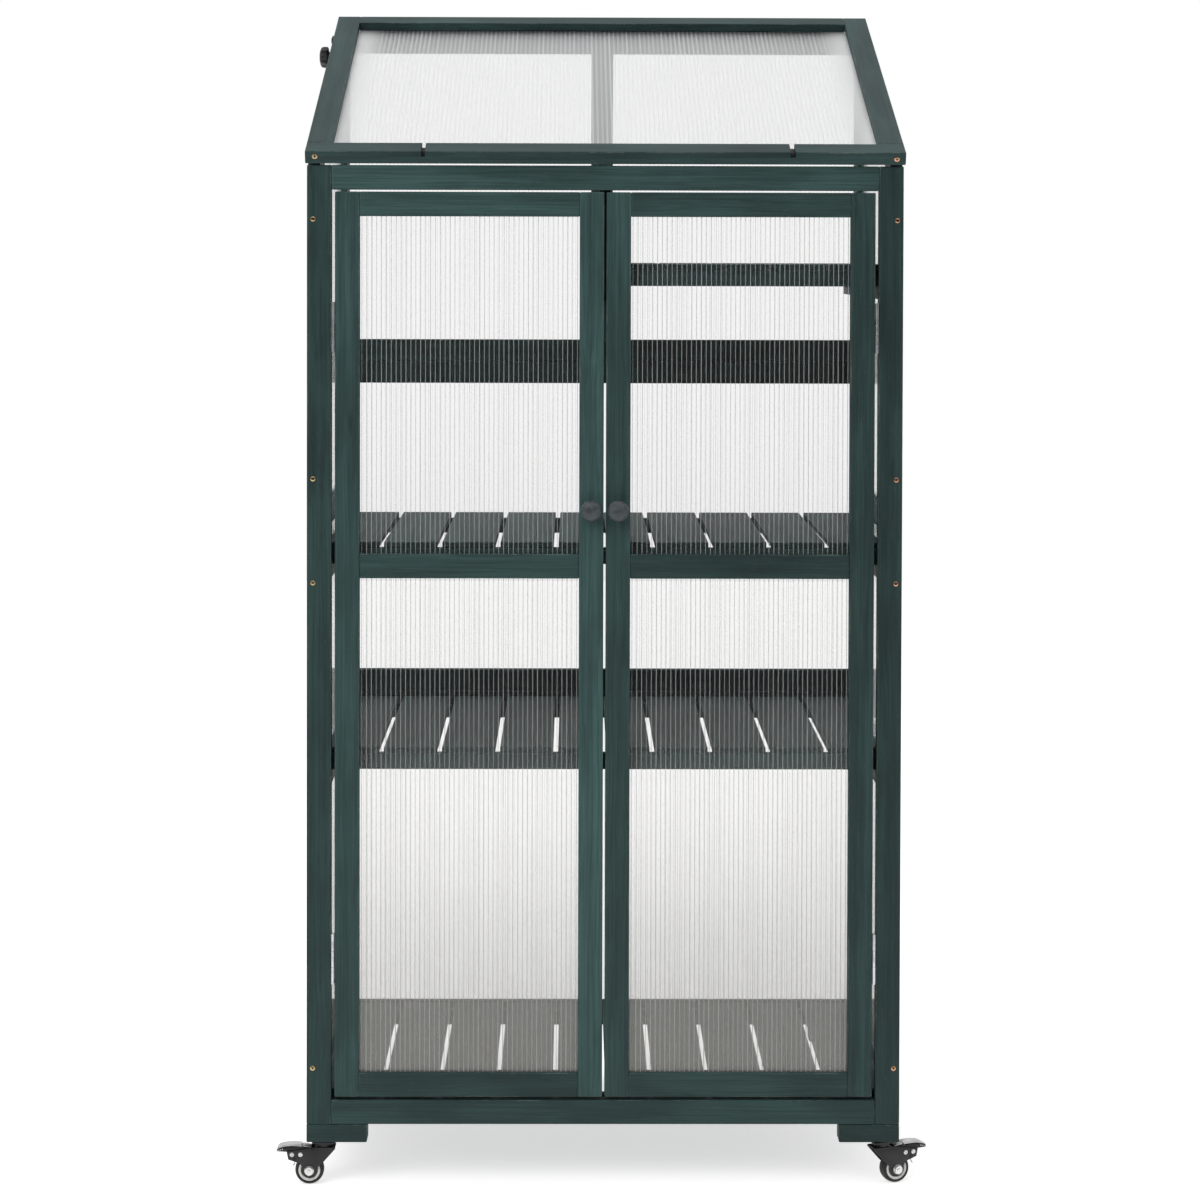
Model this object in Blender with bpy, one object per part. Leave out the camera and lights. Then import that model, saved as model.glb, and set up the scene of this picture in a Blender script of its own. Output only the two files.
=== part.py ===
"""Portable mini greenhouse on castors.

A timber cabinet glazed with thin sheets: two side-hung doors in front, two side frames,
a rear wall of two frames, a hinged sloping lid held open by a slotted stay and a star knob,
slatted shelves on cleats, and four braked swivel castors under foot blocks.

Metres, +Z up, the doors face -Y. Places inside the cabinet are measured from its middle (X),
from the front face of its front frame (Y) and from the floor (Z).
"""

import math

import bmesh
import bpy
from mathutils import Matrix, Vector

# Timber and clearances
STOCK_WIDTH = 0.032
STOCK_THICKNESS = 0.016
FIT_GAP = 0.0003
JOIN_DEPTH = 0.001
HOLE_CLEARANCE = 0.0004

# Cabinet
BODY_WIDTH = 0.778
BODY_DEPTH = 0.536
FRONT_FRAME_TOP = 1.339
REAR_SEAM_HEIGHT = 1.065
REAR_MID_SEAM_HEIGHT = 0.576
REAR_STILE_WIDTH = 0.016
SIDE_MID_RAIL_HEIGHT = 0.870

# Glazing sheets, held in grooves round the middle of each frame
SHEET_THICKNESS = 0.004
SHEET_SEAT = 0.006

# Doors
DOOR_SIDE_GAP = 0.0045
DOOR_CENTRE_GAP = 0.003
DOOR_TOP_GAP = 0.0025
DOOR_BOTTOM_GAP = 0.004
DOOR_BATTEN_HEIGHT = 0.8155
DOOR_BATTEN_WIDTH = 0.032
DOOR_BATTEN_RECESS = 0.001
DOOR_BATTEN_SPACE = 0.0005
KNOB_HEIGHT = 0.8895
KNOB_RADIUS = 0.014
KNOB_LENGTH = 0.026
KNOB_FOOT_LENGTH = 0.005
KNOB_FOOT_RADIUS = 0.008
KNOB_NECK_LENGTH = 0.011
KNOB_NECK_RADIUS = 0.006
KNOB_UNDERCUT = math.radians(-50.0)
KNOB_CROWN = math.radians(84.0)

# Door hinges: barrels stand in the side gaps, a little proud of the front face
DOOR_LOWER_HINGE_RISE = 0.182
DOOR_UPPER_HINGE_DROP = 0.177
DOOR_HINGE_LENGTH = 0.065
DOOR_HINGE_PROUD = 0.001
DOOR_LEAF_THICKNESS = 0.001
DOOR_LEAF_REACH = 0.014
DOOR_PIN_RADIUS = 0.0009
DOOR_KNUCKLE_CLEARANCE = 0.00035
PIN_CLEARANCE = 0.0003
KNUCKLE_GAP = 0.0004
LEAF_START = 0.0004

# Lid: its slope, and how far its underside reaches past the cabinet
LID_THICKNESS = 0.017
LID_SLOPE = math.radians(21.33)
LID_SIDE_OVERHANG = 0.002
LID_FRONT_OVERHANG = 0.0038
LID_REAR_OVERHANG = 0.0202
LID_FRONT_LIFT = 0.0015
LID_FRONT_RAIL = 0.035
LID_REAR_RAIL = 0.032
LID_SIDE_RAIL = 0.033
LID_SHEET_LIFT = 0.001
LID_NOTCH_DEPTH = 0.007
LID_NOTCH_LEFT_INSET = 0.1535
LID_NOTCH_LEFT_WIDTH = 0.0048
LID_NOTCH_RIGHT_INSET = 0.147
LID_NOTCH_RIGHT_WIDTH = 0.0065

# Lid hinges: barrels run along X just behind the rear wall and below the lid
LID_HINGE_INSET = 0.159
LID_HINGE_LENGTH = 0.060
LID_HINGE_DROP = 0.003
LID_HINGE_BACKSET = 0.0035
LID_LEAF_THICKNESS = 0.0012
LID_LEAF_REACH = 0.024
LID_LEAF_TAIL_GAP = 0.002
LID_PIN_RADIUS = 0.0012
LID_KNUCKLE_CLEARANCE = 0.0005

# Lid stay: its pivot on the lid and the star knob's stud lie equally far from the lid's hinge axis
STAY_PIVOT_ALONG_LID = 0.075
STAY_REST_ANGLE = math.radians(19.0)
STAY_LENGTH = 0.112
STAY_WIDTH = 0.0145
STAY_THICKNESS = 0.002
STAY_SLOT_START = 0.018
STAY_SLOT_MARGIN = 0.007
STAY_SLOT_CLEARANCE = 0.0006
STAY_RIVET_RADIUS = 0.002
STAY_RIVET_HEAD_RADIUS = 0.005
STAY_RIVET_CROWN_RADIUS = 0.004
STAY_RIVET_HEAD_LENGTH = 0.0016
STAY_RIVET_DEPTH = 0.008

# Star knob
STAR_STUD_RADIUS = 0.0025
STAR_STUD_DEPTH = 0.012
STAR_COLLAR_RADIUS = 0.006
STAR_NECK_RADIUS = 0.0075
STAR_NECK_LENGTH = 0.0054
STAR_HEAD_RADIUS = 0.016
STAR_LOBE_DEPTH = 0.0022
STAR_HEAD_LENGTH = 0.0136
STAR_LOBES = 5

# Shelves: slats run front to back on a front and a rear rail, which lie on side cleats
FLOOR_SHELF_RISE = 0.040
LOWER_SHELF_TOP = 0.574
MIDDLE_SHELF_TOP = 0.845
HALF_SHELF_DROP = 0.128
HALF_SHELF_START = 0.00725
SHELF_FRONT = 0.026
SHELF_REAR_SPACE = 0.038
SHELF_SIDE_CLEARANCE = 0.00675
SHELF_RAIL_HEIGHT = 0.021
SHELF_RAIL_DEPTH = 0.016
SLAT_WIDTH = 0.070
SLAT_GAP = 0.0065
SLAT_THICKNESS = 0.008
SLAT_ROUND = 0.0025
SLAT_OVERHANG = 0.0005
CLEAT_WIDTH = 0.016
CLEAT_HEIGHT = 0.016

# Half shelf's inner support: a hanger behind the meeting stiles and a bearer to the rear wall
HANGER_WIDTH = 0.015
HANGER_DEPTH = 0.016
HANGER_LAP = 0.028
HANGER_TAIL = 0.006
BEARER_WIDTH = 0.032
BEARER_HEIGHT = 0.016

# Magnetic door catch on the middle shelf's front rail
CATCH_WIDTH = 0.048
CATCH_HEIGHT = 0.016

# Foot blocks
FOOT_WIDTH = 0.079
FOOT_DEPTH = 0.032
FOOT_HEIGHT = 0.024
FOOT_BEVEL = 0.0008

# Castors: sizes along the trail are measured outwards from the swivel's axis
CASTOR_HEIGHT = 0.058
CASTOR_INSET_X = 0.0225
CASTOR_TURN = math.radians(20.0)
PLATE_SIDE = 0.031
PLATE_THICKNESS = 0.002
PLATE_CORNER = 0.003
RACE_RADIUS = 0.013
RACE_LOWER_RADIUS = 0.011
RACE_HEIGHT = 0.0055
RACE_ROUND = 0.0016
KINGPIN_RADIUS = 0.003
KINGPIN_HEAD_RADIUS = 0.005
KINGPIN_HEAD_HEIGHT = 0.002
WHEEL_RADIUS = 0.019
WHEEL_WIDTH = 0.017
WHEEL_TRAIL = 0.0194
WHEEL_SIDES = 36
WHEEL_TREAD_BEVEL = 0.0015
AXLE_RADIUS = 0.0029
AXLE_CLEARANCE = 0.0003
AXLE_NUT_FLATS = 0.010
AXLE_NUT_LENGTH = 0.004
FORK_SHEET = 0.002
FORK_SIDE_GAP = 0.001
FORK_HEEL = 0.0148
FORK_CROWN_REACH = 0.012
FORK_TOE = 0.0489
FORK_TOE_DROP = 0.0055
FORK_TOE_HEIGHT = 0.0105
FORK_EYE_RADIUS = 0.0068
FORK_WAIST_X = 0.0019
FORK_WAIST_DROP = 0.0207
FORK_BROW_X = 0.031
FORK_BROW_DROP = 0.0215
PEDAL_PIVOT_X = 0.0419
PEDAL_PIVOT_DROP = 0.0094
PEDAL_PIN_RADIUS = 0.0016
PEDAL_HUB_RADIUS = 0.0034
PEDAL_START = 0.0175
PEDAL_END = 0.0625
PEDAL_CREST_INSET = 0.0122
PEDAL_ROUND = 0.0032
PEDAL_RISE = 0.003
PEDAL_THICKNESS = 0.0091
PEDAL_SIDE_GAP = 0.0008

# Fineness of the round pieces
ROUND_SIDES = 24
SMALL_SIDES = 16
NUT_SIDES = 6
KNOB_RINGS = 7
STAR_POINTS = 40
CORNER_STEPS = 3
SMOOTH_ANGLE = math.radians(35.0)

# Places that follow from the sizes above
BASE_HEIGHT = CASTOR_HEIGHT + FOOT_HEIGHT
HALF_BODY = BODY_WIDTH / 2
INNER_HALF = HALF_BODY - STOCK_THICKNESS
OPENING_HALF = HALF_BODY - STOCK_WIDTH
OPENING_BOTTOM = BASE_HEIGHT + STOCK_WIDTH
OPENING_TOP = FRONT_FRAME_TOP - STOCK_WIDTH
DOOR_WIDTH = OPENING_HALF - DOOR_SIDE_GAP - DOOR_CENTRE_GAP / 2
DOOR_BOTTOM = OPENING_BOTTOM + DOOR_BOTTOM_GAP
DOOR_HEIGHT = OPENING_TOP - DOOR_TOP_GAP - DOOR_BOTTOM
SIDE_FRONT = STOCK_THICKNESS + FIT_GAP
REAR_FRONT = BODY_DEPTH - STOCK_THICKNESS
REAR_OPENING_HALF = HALF_BODY - REAR_STILE_WIDTH
SIDE_REAR = REAR_FRONT - FIT_GAP
GROOVE_START = (STOCK_THICKNESS - SHEET_THICKNESS) / 2 - FIT_GAP
GROOVE_END = STOCK_THICKNESS - GROOVE_START
DOOR_BATTEN_BACK = GROOVE_START + FIT_GAP - DOOR_BATTEN_SPACE
SHELF_HALF = INNER_HALF - SHELF_SIDE_CLEARANCE
SHELF_REAR = REAR_FRONT - SHELF_REAR_SPACE
SHELF_TOPS = {
    "floor_shelf": BASE_HEIGHT + FLOOR_SHELF_RISE,
    "lower_shelf": LOWER_SHELF_TOP,
    "middle_shelf": MIDDLE_SHELF_TOP,
}
HALF_SHELF_TOP = FRONT_FRAME_TOP - HALF_SHELF_DROP
LID_WIDTH = BODY_WIDTH + 2 * LID_SIDE_OVERHANG
LID_REAR = BODY_DEPTH + LID_REAR_OVERHANG
LID_LENGTH = (LID_REAR + LID_FRONT_OVERHANG) / math.cos(LID_SLOPE)
LID_SHEET_TOP = LID_SHEET_LIFT + SHEET_THICKNESS
FRONT_FACE_Y = (KNOB_LENGTH + FIT_GAP - LID_REAR) / 2
LID_AXIS_Y = BODY_DEPTH + LID_HINGE_BACKSET
LID_KNUCKLE_RADIUS = min(LID_HINGE_DROP, LID_HINGE_BACKSET) - LID_KNUCKLE_CLEARANCE
DOOR_KNUCKLE_RADIUS = DOOR_SIDE_GAP / 2 - DOOR_KNUCKLE_CLEARANCE
FORK_TOP = CASTOR_HEIGHT - FIT_GAP - PLATE_THICKNESS - RACE_HEIGHT - FIT_GAP
PEDAL_PIVOT_HEIGHT = FORK_TOP - PEDAL_PIVOT_DROP
FORK_INNER = WHEEL_WIDTH / 2 + FORK_SIDE_GAP
FORK_OUTER = FORK_INNER + FORK_SHEET


def lid_underside(y, gap=0.0):
    """Height of the lid's underside above a place y, less a clearance square to it."""
    rise = (y + LID_FRONT_OVERHANG) * math.tan(LID_SLOPE)
    return FRONT_FRAME_TOP + LID_FRONT_LIFT + rise - gap / math.cos(LID_SLOPE)


def lid_axis():
    """Place of the lid's hinge axis in the cabinet's side view, as y and z."""
    return LID_AXIS_Y, lid_underside(LID_AXIS_Y, LID_HINGE_DROP)


def lid_front_reach():
    """Distance along the lid from its hinge axis to its front edge."""
    axis_y, axis_z = lid_axis()
    back = axis_y + LID_FRONT_OVERHANG
    up = axis_z - FRONT_FRAME_TOP - LID_FRONT_LIFT
    return back * math.cos(LID_SLOPE) + up * math.sin(LID_SLOPE)


def stay_pivot():
    """Place of the stay's pivot from the lid's hinge axis, in the cabinet's side view."""
    along = -STAY_PIVOT_ALONG_LID
    above = LID_HINGE_DROP + LID_THICKNESS / 2
    y = along * math.cos(LID_SLOPE) - above * math.sin(LID_SLOPE)
    z = along * math.sin(LID_SLOPE) + above * math.cos(LID_SLOPE)
    return Vector((0.0, y, z))


def star_place():
    """Place of the star knob's stud from the lid's hinge axis."""
    return Matrix.Rotation(STAY_REST_ANGLE, 3, "X") @ stay_pivot()


# Materials


def finish(name, colour, roughness, metallic=0.0, alpha=1.0):
    """A plain Principled finish."""
    material = bpy.data.materials.new(name)
    material.use_nodes = True
    shader = material.node_tree.nodes["Principled BSDF"]
    shader.inputs["Base Color"].default_value = (*colour, 1.0)
    shader.inputs["Roughness"].default_value = roughness
    shader.inputs["Metallic"].default_value = metallic
    shader.inputs["Alpha"].default_value = alpha
    return material


def stained_timber(name, colour):
    """Semi-matte dark green stain on softwood."""
    return finish(name, colour, roughness=0.55)


def clear_sheet(name):
    """Hazy clear plastic glazing."""
    return finish(name, (0.86, 0.88, 0.88), roughness=0.3, alpha=0.55)


def bright_steel(name):
    """Zinc-plated steel of the hinges."""
    return finish(name, (0.60, 0.61, 0.62), roughness=0.35, metallic=1.0)


def painted_steel(name):
    """Black painted steel of the lid stay and of the castors' plates and forks."""
    return finish(name, (0.018, 0.018, 0.018), roughness=0.45)


def dark_plastic(name):
    """Moulded dark plastic of knobs and pedals."""
    return finish(name, (0.03, 0.04, 0.045), roughness=0.45)


def dark_rubber(name):
    """Rubber of the castor wheels."""
    return finish(name, (0.02, 0.02, 0.022), roughness=0.75)


# Mesh helpers


def spot(axis, along, first, second):
    """A point from its place along an axis and its two other coordinates, in X, Y, Z order."""
    if axis == "X":
        return (along, first, second)
    if axis == "Y":
        return (first, along, second)
    return (first, second, along)


def add_box(bm, x, y, z):
    """A box between a low and a high value on each axis."""
    low = Vector((min(x), min(y), min(z)))
    high = Vector((max(x), max(y), max(z)))
    matrix = Matrix.LocRotScale((low + high) / 2, None, high - low)
    bmesh.ops.create_cube(bm, size=1.0, matrix=matrix)


def add_prism(bm, outline, axis, ends):
    """A flat outline drawn out along an axis between two ends."""
    rims = []
    for end in ends:
        rims.append([bm.verts.new(spot(axis, end, a, b)) for a, b in outline])
    first, last = rims
    bm.faces.new(first)
    bm.faces.new(last[::-1])
    for index in range(len(outline)):
        after = (index + 1) % len(outline)
        bm.faces.new((first[index], last[index], last[after], first[after]))


def circle(centre, radius, sides, turn=0.0):
    """Points of a circle, the first one at the angle given."""
    points = []
    for index in range(sides):
        angle = turn + 2 * math.pi * index / sides
        points.append((centre[0] + radius * math.cos(angle), centre[1] + radius * math.sin(angle)))
    return points


def arc(centre, radius, start, end, steps):
    """Points along an arc, its two ends included."""
    points = []
    for index in range(steps + 1):
        angle = start + (end - start) * index / steps
        points.append((centre[0] + radius * math.cos(angle), centre[1] + radius * math.sin(angle)))
    return points


def add_cylinder(bm, centre, radius, axis, ends, sides=ROUND_SIDES):
    """A cylinder about a centre given in the other two coordinates."""
    add_prism(bm, circle(centre, radius, sides), axis, ends)


def add_turned(bm, profile, axis, centre=(0.0, 0.0), sides=ROUND_SIDES, turn=0.0):
    """A solid turned about an axis from pairs of radius and place along it."""
    rings = []
    for radius, along in profile:
        points = circle(centre, radius, sides, turn)
        rings.append([bm.verts.new(spot(axis, along, a, b)) for a, b in points])
    bm.faces.new(rings[0])
    bm.faces.new(rings[-1][::-1])
    for lower, upper in zip(rings, rings[1:]):
        for index in range(sides):
            after = (index + 1) % sides
            bm.faces.new((lower[index], upper[index], upper[after], lower[after]))


def mesh_of(name, bm, material=None):
    """A finished mesh with its faces pointing outwards and its round faces smooth."""
    bmesh.ops.recalc_face_normals(bm, faces=bm.faces)
    mesh = bpy.data.meshes.new(name)
    bm.to_mesh(mesh)
    bm.free()
    mesh.shade_smooth()
    mesh.set_sharp_from_angle(angle=SMOOTH_ANGLE)
    if material:
        mesh.materials.append(material)
    return mesh


def place(name, mesh, parent, location=(0.0, 0.0, 0.0), rotation=(0.0, 0.0, 0.0)):
    """A named object at its place under its parent."""
    part = bpy.data.objects.new(name, mesh)
    part.parent = parent
    part.location = location
    part.rotation_euler = rotation
    bpy.context.scene.collection.objects.link(part)
    return part


def part_from(name, bm, material, parent, location=(0.0, 0.0, 0.0), rotation=(0.0, 0.0, 0.0)):
    """A sub-part with a mesh of its own."""
    return place(name, mesh_of(name, bm, material), parent, location, rotation)


def combine(part, bm, label, operation):
    """Join a helper solid to a part, or cut it away from the part."""
    helper = place(f"{part.name}_{label}", mesh_of(f"{part.name}_{label}", bm), part)
    helper.hide_render = True
    helper.display_type = "WIRE"
    step = part.modifiers.new(label, "BOOLEAN")
    step.operation = operation
    step.solver = "EXACT"
    step.object = helper


def cut(part, bm, label):
    """Cut a helper solid away."""
    combine(part, bm, label, "DIFFERENCE")


def unite(part, bm, label):
    """Join a helper solid on."""
    combine(part, bm, label, "UNION")


def pivot(name, location, parent, rotation=(0.0, 0.0, 0.0)):
    """An empty on a joint's axis or at an assembly's origin."""
    return place(name, None, parent, location, rotation)


# Flat glazed frames


def add_windows(bm, spans_x, spans_z):
    """Through openings of a flat frame, one for each pair of spans."""
    reach = (-STOCK_THICKNESS, 2 * STOCK_THICKNESS)
    for x in spans_x:
        for z in spans_z:
            add_box(bm, x, reach, z)


def grow(span, amount):
    """A span with both of its ends moved outwards."""
    return (span[0] - amount, span[1] + amount)


def cut_groove(part, x, z, start=0.0):
    """The groove that holds a frame's sheet, round the window x by z."""
    bm = bmesh.new()
    seat = SHEET_SEAT + FIT_GAP
    add_box(bm, grow(x, seat), (start + GROOVE_START, start + GROOVE_END), grow(z, seat))
    cut(part, bm, "groove")


def flat_sheet(name, parent, material, x, z, start=0.0):
    """A sheet seated in the groove round the window x by z."""
    bm = bmesh.new()
    low = start + GROOVE_START + FIT_GAP
    add_box(bm, grow(x, SHEET_SEAT), (low, low + SHEET_THICKNESS), grow(z, SHEET_SEAT))
    return part_from(name, bm, material, parent)


# Front frame


def front_frame(cabinet, timber):
    """Two posts with a top and a bottom rail between them."""
    thickness = (0.0, STOCK_THICKNESS)
    for name, side in (("front_post_left", -1), ("front_post_right", 1)):
        bm = bmesh.new()
        add_box(bm, (0.0, -side * STOCK_WIDTH), thickness, (0.0, FRONT_FRAME_TOP - BASE_HEIGHT))
        part_from(name, bm, timber, cabinet, (side * HALF_BODY, 0.0, BASE_HEIGHT))
    half = OPENING_HALF - FIT_GAP
    for name, bottom in (("front_top_rail", OPENING_TOP), ("front_bottom_rail", BASE_HEIGHT)):
        bm = bmesh.new()
        add_box(bm, (-half, half), thickness, (0.0, STOCK_WIDTH))
        part_from(name, bm, timber, cabinet, (0.0, 0.0, bottom))


# Hinges


def leaf_outline(length, zones, start, reach):
    """A hinge leaf seen flat: a plate with a tab to each of its knuckles."""
    points = [(reach, 0.0), (reach, length)]
    for low, high in reversed(zones):
        if high < length:
            points.append((start, high))
        points.append((0.0, high))
        points.append((0.0, low))
        if low > 0.0:
            points.append((start, low))
    if zones[0][0] > 0.0:
        points.append((start, 0.0))
    if zones[-1][1] < length:
        points.insert(2, (start, length))
    return points


def hinge_zones(length):
    """Knuckle spans along a hinge: the pin leaf's two outer ones and the other leaf's middle one."""
    third = length / 3
    outer = [(0.0, third), (length - third, length)]
    middle = [(third + KNUCKLE_GAP, length - third - KNUCKLE_GAP)]
    return outer, middle


def pin_leaf(name, material, parent, location, rotation, length, plate, knuckle, pin, reach):
    """The leaf with the hinge's outer knuckles and its pin, along local Z."""
    outer, _ = hinge_zones(length)
    start = knuckle + LEAF_START
    tabs = [(0.0, outer[0][1] - KNUCKLE_GAP), (outer[1][0] + KNUCKLE_GAP, length)]
    bm = bmesh.new()
    add_prism(bm, leaf_outline(length, tabs, start, reach), "X", plate)
    part = part_from(name, bm, material, parent, location, rotation)
    profile = [(knuckle, -JOIN_DEPTH / 2), (knuckle, outer[0][1])]
    profile += [(pin, outer[0][1]), (pin, outer[1][0])]
    profile += [(knuckle, outer[1][0]), (knuckle, length + JOIN_DEPTH / 2)]
    bm = bmesh.new()
    add_turned(bm, profile, "Z", sides=SMALL_SIDES)
    unite(part, bm, "pin")
    return part


def tube_leaf(name, material, parent, location, rotation, length, plate, knuckle, pin, reach):
    """The leaf with the hinge's middle knuckle, bored for the pin, along local Z."""
    _, middle = hinge_zones(length)
    start = knuckle + LEAF_START
    low, high = middle[0]
    tab = [(low + KNUCKLE_GAP, high - KNUCKLE_GAP)]
    bm = bmesh.new()
    add_prism(bm, leaf_outline(length, tab, start, reach), "X", plate)
    part = part_from(name, bm, material, parent, location, rotation)
    bm = bmesh.new()
    add_cylinder(bm, (0.0, 0.0), knuckle, "Z", (low, high), SMALL_SIDES)
    unite(part, bm, "knuckle")
    bm = bmesh.new()
    add_cylinder(bm, (0.0, 0.0), pin + PIN_CLEARANCE, "Z", (-length, 2 * length), SMALL_SIDES)
    cut(part, bm, "bore")
    return part


def door_hinges(cabinet, door, steel, label, side):
    """Two hinges of one door: post leaves on the cabinet, door leaves on the door."""
    far = DOOR_SIDE_GAP / 2 - FIT_GAP
    near = far - DOOR_LEAF_THICKNESS
    sizes = (DOOR_KNUCKLE_RADIUS, DOOR_PIN_RADIUS, DOOR_HINGE_PROUD + DOOR_LEAF_REACH)
    level = (0.0, 0.0, 0.0)
    heights = {"lower": DOOR_LOWER_HINGE_RISE, "upper": DOOR_HEIGHT - DOOR_UPPER_HINGE_DROP}
    for place_name, height in heights.items():
        bottom = DOOR_BOTTOM + height - DOOR_HINGE_LENGTH / 2
        post = (side * (OPENING_HALF - DOOR_SIDE_GAP / 2), -DOOR_HINGE_PROUD, bottom)
        name = f"{label}_door_{place_name}_hinge"
        plate = (side * near, side * far)
        pin_leaf(f"{name}_post_leaf", steel, cabinet, post, level, DOOR_HINGE_LENGTH, plate, *sizes)
        plate = (-side * far, -side * near)
        spot_on_door = (0.0, 0.0, bottom - DOOR_BOTTOM)
        tube_leaf(f"{name}_door_leaf", steel, door, spot_on_door, level, DOOR_HINGE_LENGTH, plate, *sizes)


# Doors


def door_frame(name, door, timber, side):
    """Stiles and rails round one tall window, with a thin batten in front of the sheet."""
    edge = -side * DOOR_SIDE_GAP / 2
    free = edge - side * DOOR_WIDTH
    thickness = (DOOR_HINGE_PROUD, DOOR_HINGE_PROUD + STOCK_THICKNESS)
    bm = bmesh.new()
    add_box(bm, (edge, free), thickness, (0.0, DOOR_HEIGHT))
    part = part_from(name, bm, timber, door)
    x = (min(edge, free) + STOCK_WIDTH, max(edge, free) - STOCK_WIDTH)
    z = (STOCK_WIDTH, DOOR_HEIGHT - STOCK_WIDTH)
    bm = bmesh.new()
    add_windows(bm, [x], [z])
    cut(part, bm, "window")
    cut_groove(part, x, z, DOOR_HINGE_PROUD)
    low = DOOR_BATTEN_HEIGHT - DOOR_BATTEN_WIDTH / 2 - DOOR_BOTTOM
    depth = (DOOR_HINGE_PROUD + DOOR_BATTEN_RECESS, DOOR_HINGE_PROUD + DOOR_BATTEN_BACK)
    bm = bmesh.new()
    add_box(bm, grow(x, JOIN_DEPTH), depth, (low, low + DOOR_BATTEN_WIDTH))
    unite(part, bm, "batten")
    return x, z


def door_knob(name, door, plastic, side):
    """A turned pull in the middle of the free stile."""
    profile = [(KNOB_FOOT_RADIUS, 0.0), (KNOB_NECK_RADIUS, -KNOB_FOOT_LENGTH)]
    profile.append((KNOB_NECK_RADIUS, -KNOB_NECK_LENGTH))
    low = math.sin(KNOB_UNDERCUT)
    head = (KNOB_LENGTH - KNOB_NECK_LENGTH) / (math.sin(KNOB_CROWN) - low)
    for index in range(KNOB_RINGS + 1):
        angle = KNOB_UNDERCUT + (KNOB_CROWN - KNOB_UNDERCUT) * index / KNOB_RINGS
        profile.append((KNOB_RADIUS * math.cos(angle), -KNOB_NECK_LENGTH - head * (math.sin(angle) - low)))
    bm = bmesh.new()
    add_turned(bm, profile, "Y")
    x = -side * (DOOR_SIDE_GAP / 2 + DOOR_WIDTH - STOCK_WIDTH / 2)
    part_from(name, bm, plastic, door, (x, DOOR_HINGE_PROUD - FIT_GAP, KNOB_HEIGHT - DOOR_BOTTOM))


def hung_door(cabinet, finishes, label, side):
    """One door on its hinge axis: frame, sheet, knob and hinges."""
    axis_x = side * (OPENING_HALF - DOOR_SIDE_GAP / 2)
    door = pivot(f"{label}_door_axis", (axis_x, -DOOR_HINGE_PROUD, DOOR_BOTTOM), cabinet)
    x, z = door_frame(f"{label}_door_frame", door, finishes["door timber"], side)
    flat_sheet(f"{label}_door_sheet", door, finishes["sheet"], x, z, DOOR_HINGE_PROUD)
    door_knob(f"{label}_door_knob", door, finishes["plastic"], side)
    door_hinges(cabinet, door, finishes["steel"], label, side)


# Side frames


def side_outline(inset):
    """The side frame's four corners as y and z, moved inwards by an inset square to each edge."""
    front = SIDE_FRONT + inset
    rear = SIDE_REAR - inset
    bottom = BASE_HEIGHT + inset
    top_gap = FIT_GAP + inset
    return [
        (front, bottom),
        (rear, bottom),
        (rear, lid_underside(rear, top_gap)),
        (front, lid_underside(front, top_gap)),
    ]


def side_windows():
    """Outlines of the side frame's lower and upper window."""
    low_front, low_rear, high_rear, high_front = side_outline(STOCK_WIDTH)
    rail_low = SIDE_MID_RAIL_HEIGHT - STOCK_WIDTH / 2
    rail_high = SIDE_MID_RAIL_HEIGHT + STOCK_WIDTH / 2
    lower = [low_front, low_rear, (low_rear[0], rail_low), (low_front[0], rail_low)]
    upper = [(low_front[0], rail_high), (low_rear[0], rail_high), high_rear, high_front]
    return lower, upper


def cleat_tops(side):
    """Heights of the tops of the shelf cleats on one side."""
    tops = list(SHELF_TOPS.values())
    if side > 0:
        tops.append(HALF_SHELF_TOP)
    return [top - SLAT_THICKNESS - SHELF_RAIL_HEIGHT - FIT_GAP for top in tops]


def add_cleats(bm, side):
    """Cleats along the inner face of a side frame, let into it a little."""
    inner = STOCK_THICKNESS + CLEAT_WIDTH
    y = (SIDE_FRONT + JOIN_DEPTH, SIDE_REAR - JOIN_DEPTH)
    for top in cleat_tops(side):
        bottom = max(top - CLEAT_HEIGHT, BASE_HEIGHT + JOIN_DEPTH)
        add_box(bm, (-side * (STOCK_THICKNESS - JOIN_DEPTH), -side * inner), y, (bottom, top))


def side_frame(cabinet, finishes, label, side):
    """One side frame with its cleats, and its sheet."""
    place_x = (side * HALF_BODY, 0.0, 0.0)
    bm = bmesh.new()
    add_prism(bm, side_outline(0.0), "X", (0.0, -side * STOCK_THICKNESS))
    part = part_from(f"{label}_side_frame", bm, finishes["timber"], cabinet, place_x)
    bm = bmesh.new()
    for window in side_windows():
        add_prism(bm, window, "X", (-STOCK_WIDTH, STOCK_WIDTH))
    cut(part, bm, "windows")
    bm = bmesh.new()
    groove = side_outline(STOCK_WIDTH - SHEET_SEAT - FIT_GAP)
    add_prism(bm, groove, "X", (-side * GROOVE_START, -side * GROOVE_END))
    cut(part, bm, "groove")
    bm = bmesh.new()
    add_cleats(bm, side)
    unite(part, bm, "cleats")
    bm = bmesh.new()
    outer = GROOVE_START + FIT_GAP
    ends = (-side * outer, -side * (outer + SHEET_THICKNESS))
    add_prism(bm, side_outline(STOCK_WIDTH - SHEET_SEAT), "X", ends)
    part_from(f"{label}_side_sheet", bm, finishes["sheet"], cabinet, place_x)
    return part


def cut_star_hole(part):
    """The hole for the star knob's stud in the left side frame's top rail."""
    axis_y, axis_z = lid_axis()
    place_yz = star_place()
    centre = (axis_y + place_yz.y, axis_z + place_yz.z)
    radius = STAR_STUD_RADIUS + HOLE_CLEARANCE
    bm = bmesh.new()
    add_cylinder(bm, centre, radius, "X", (-STOCK_WIDTH, STAR_STUD_DEPTH + JOIN_DEPTH), SMALL_SIDES)
    cut(part, bm, "star_hole")


# Rear wall


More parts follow.
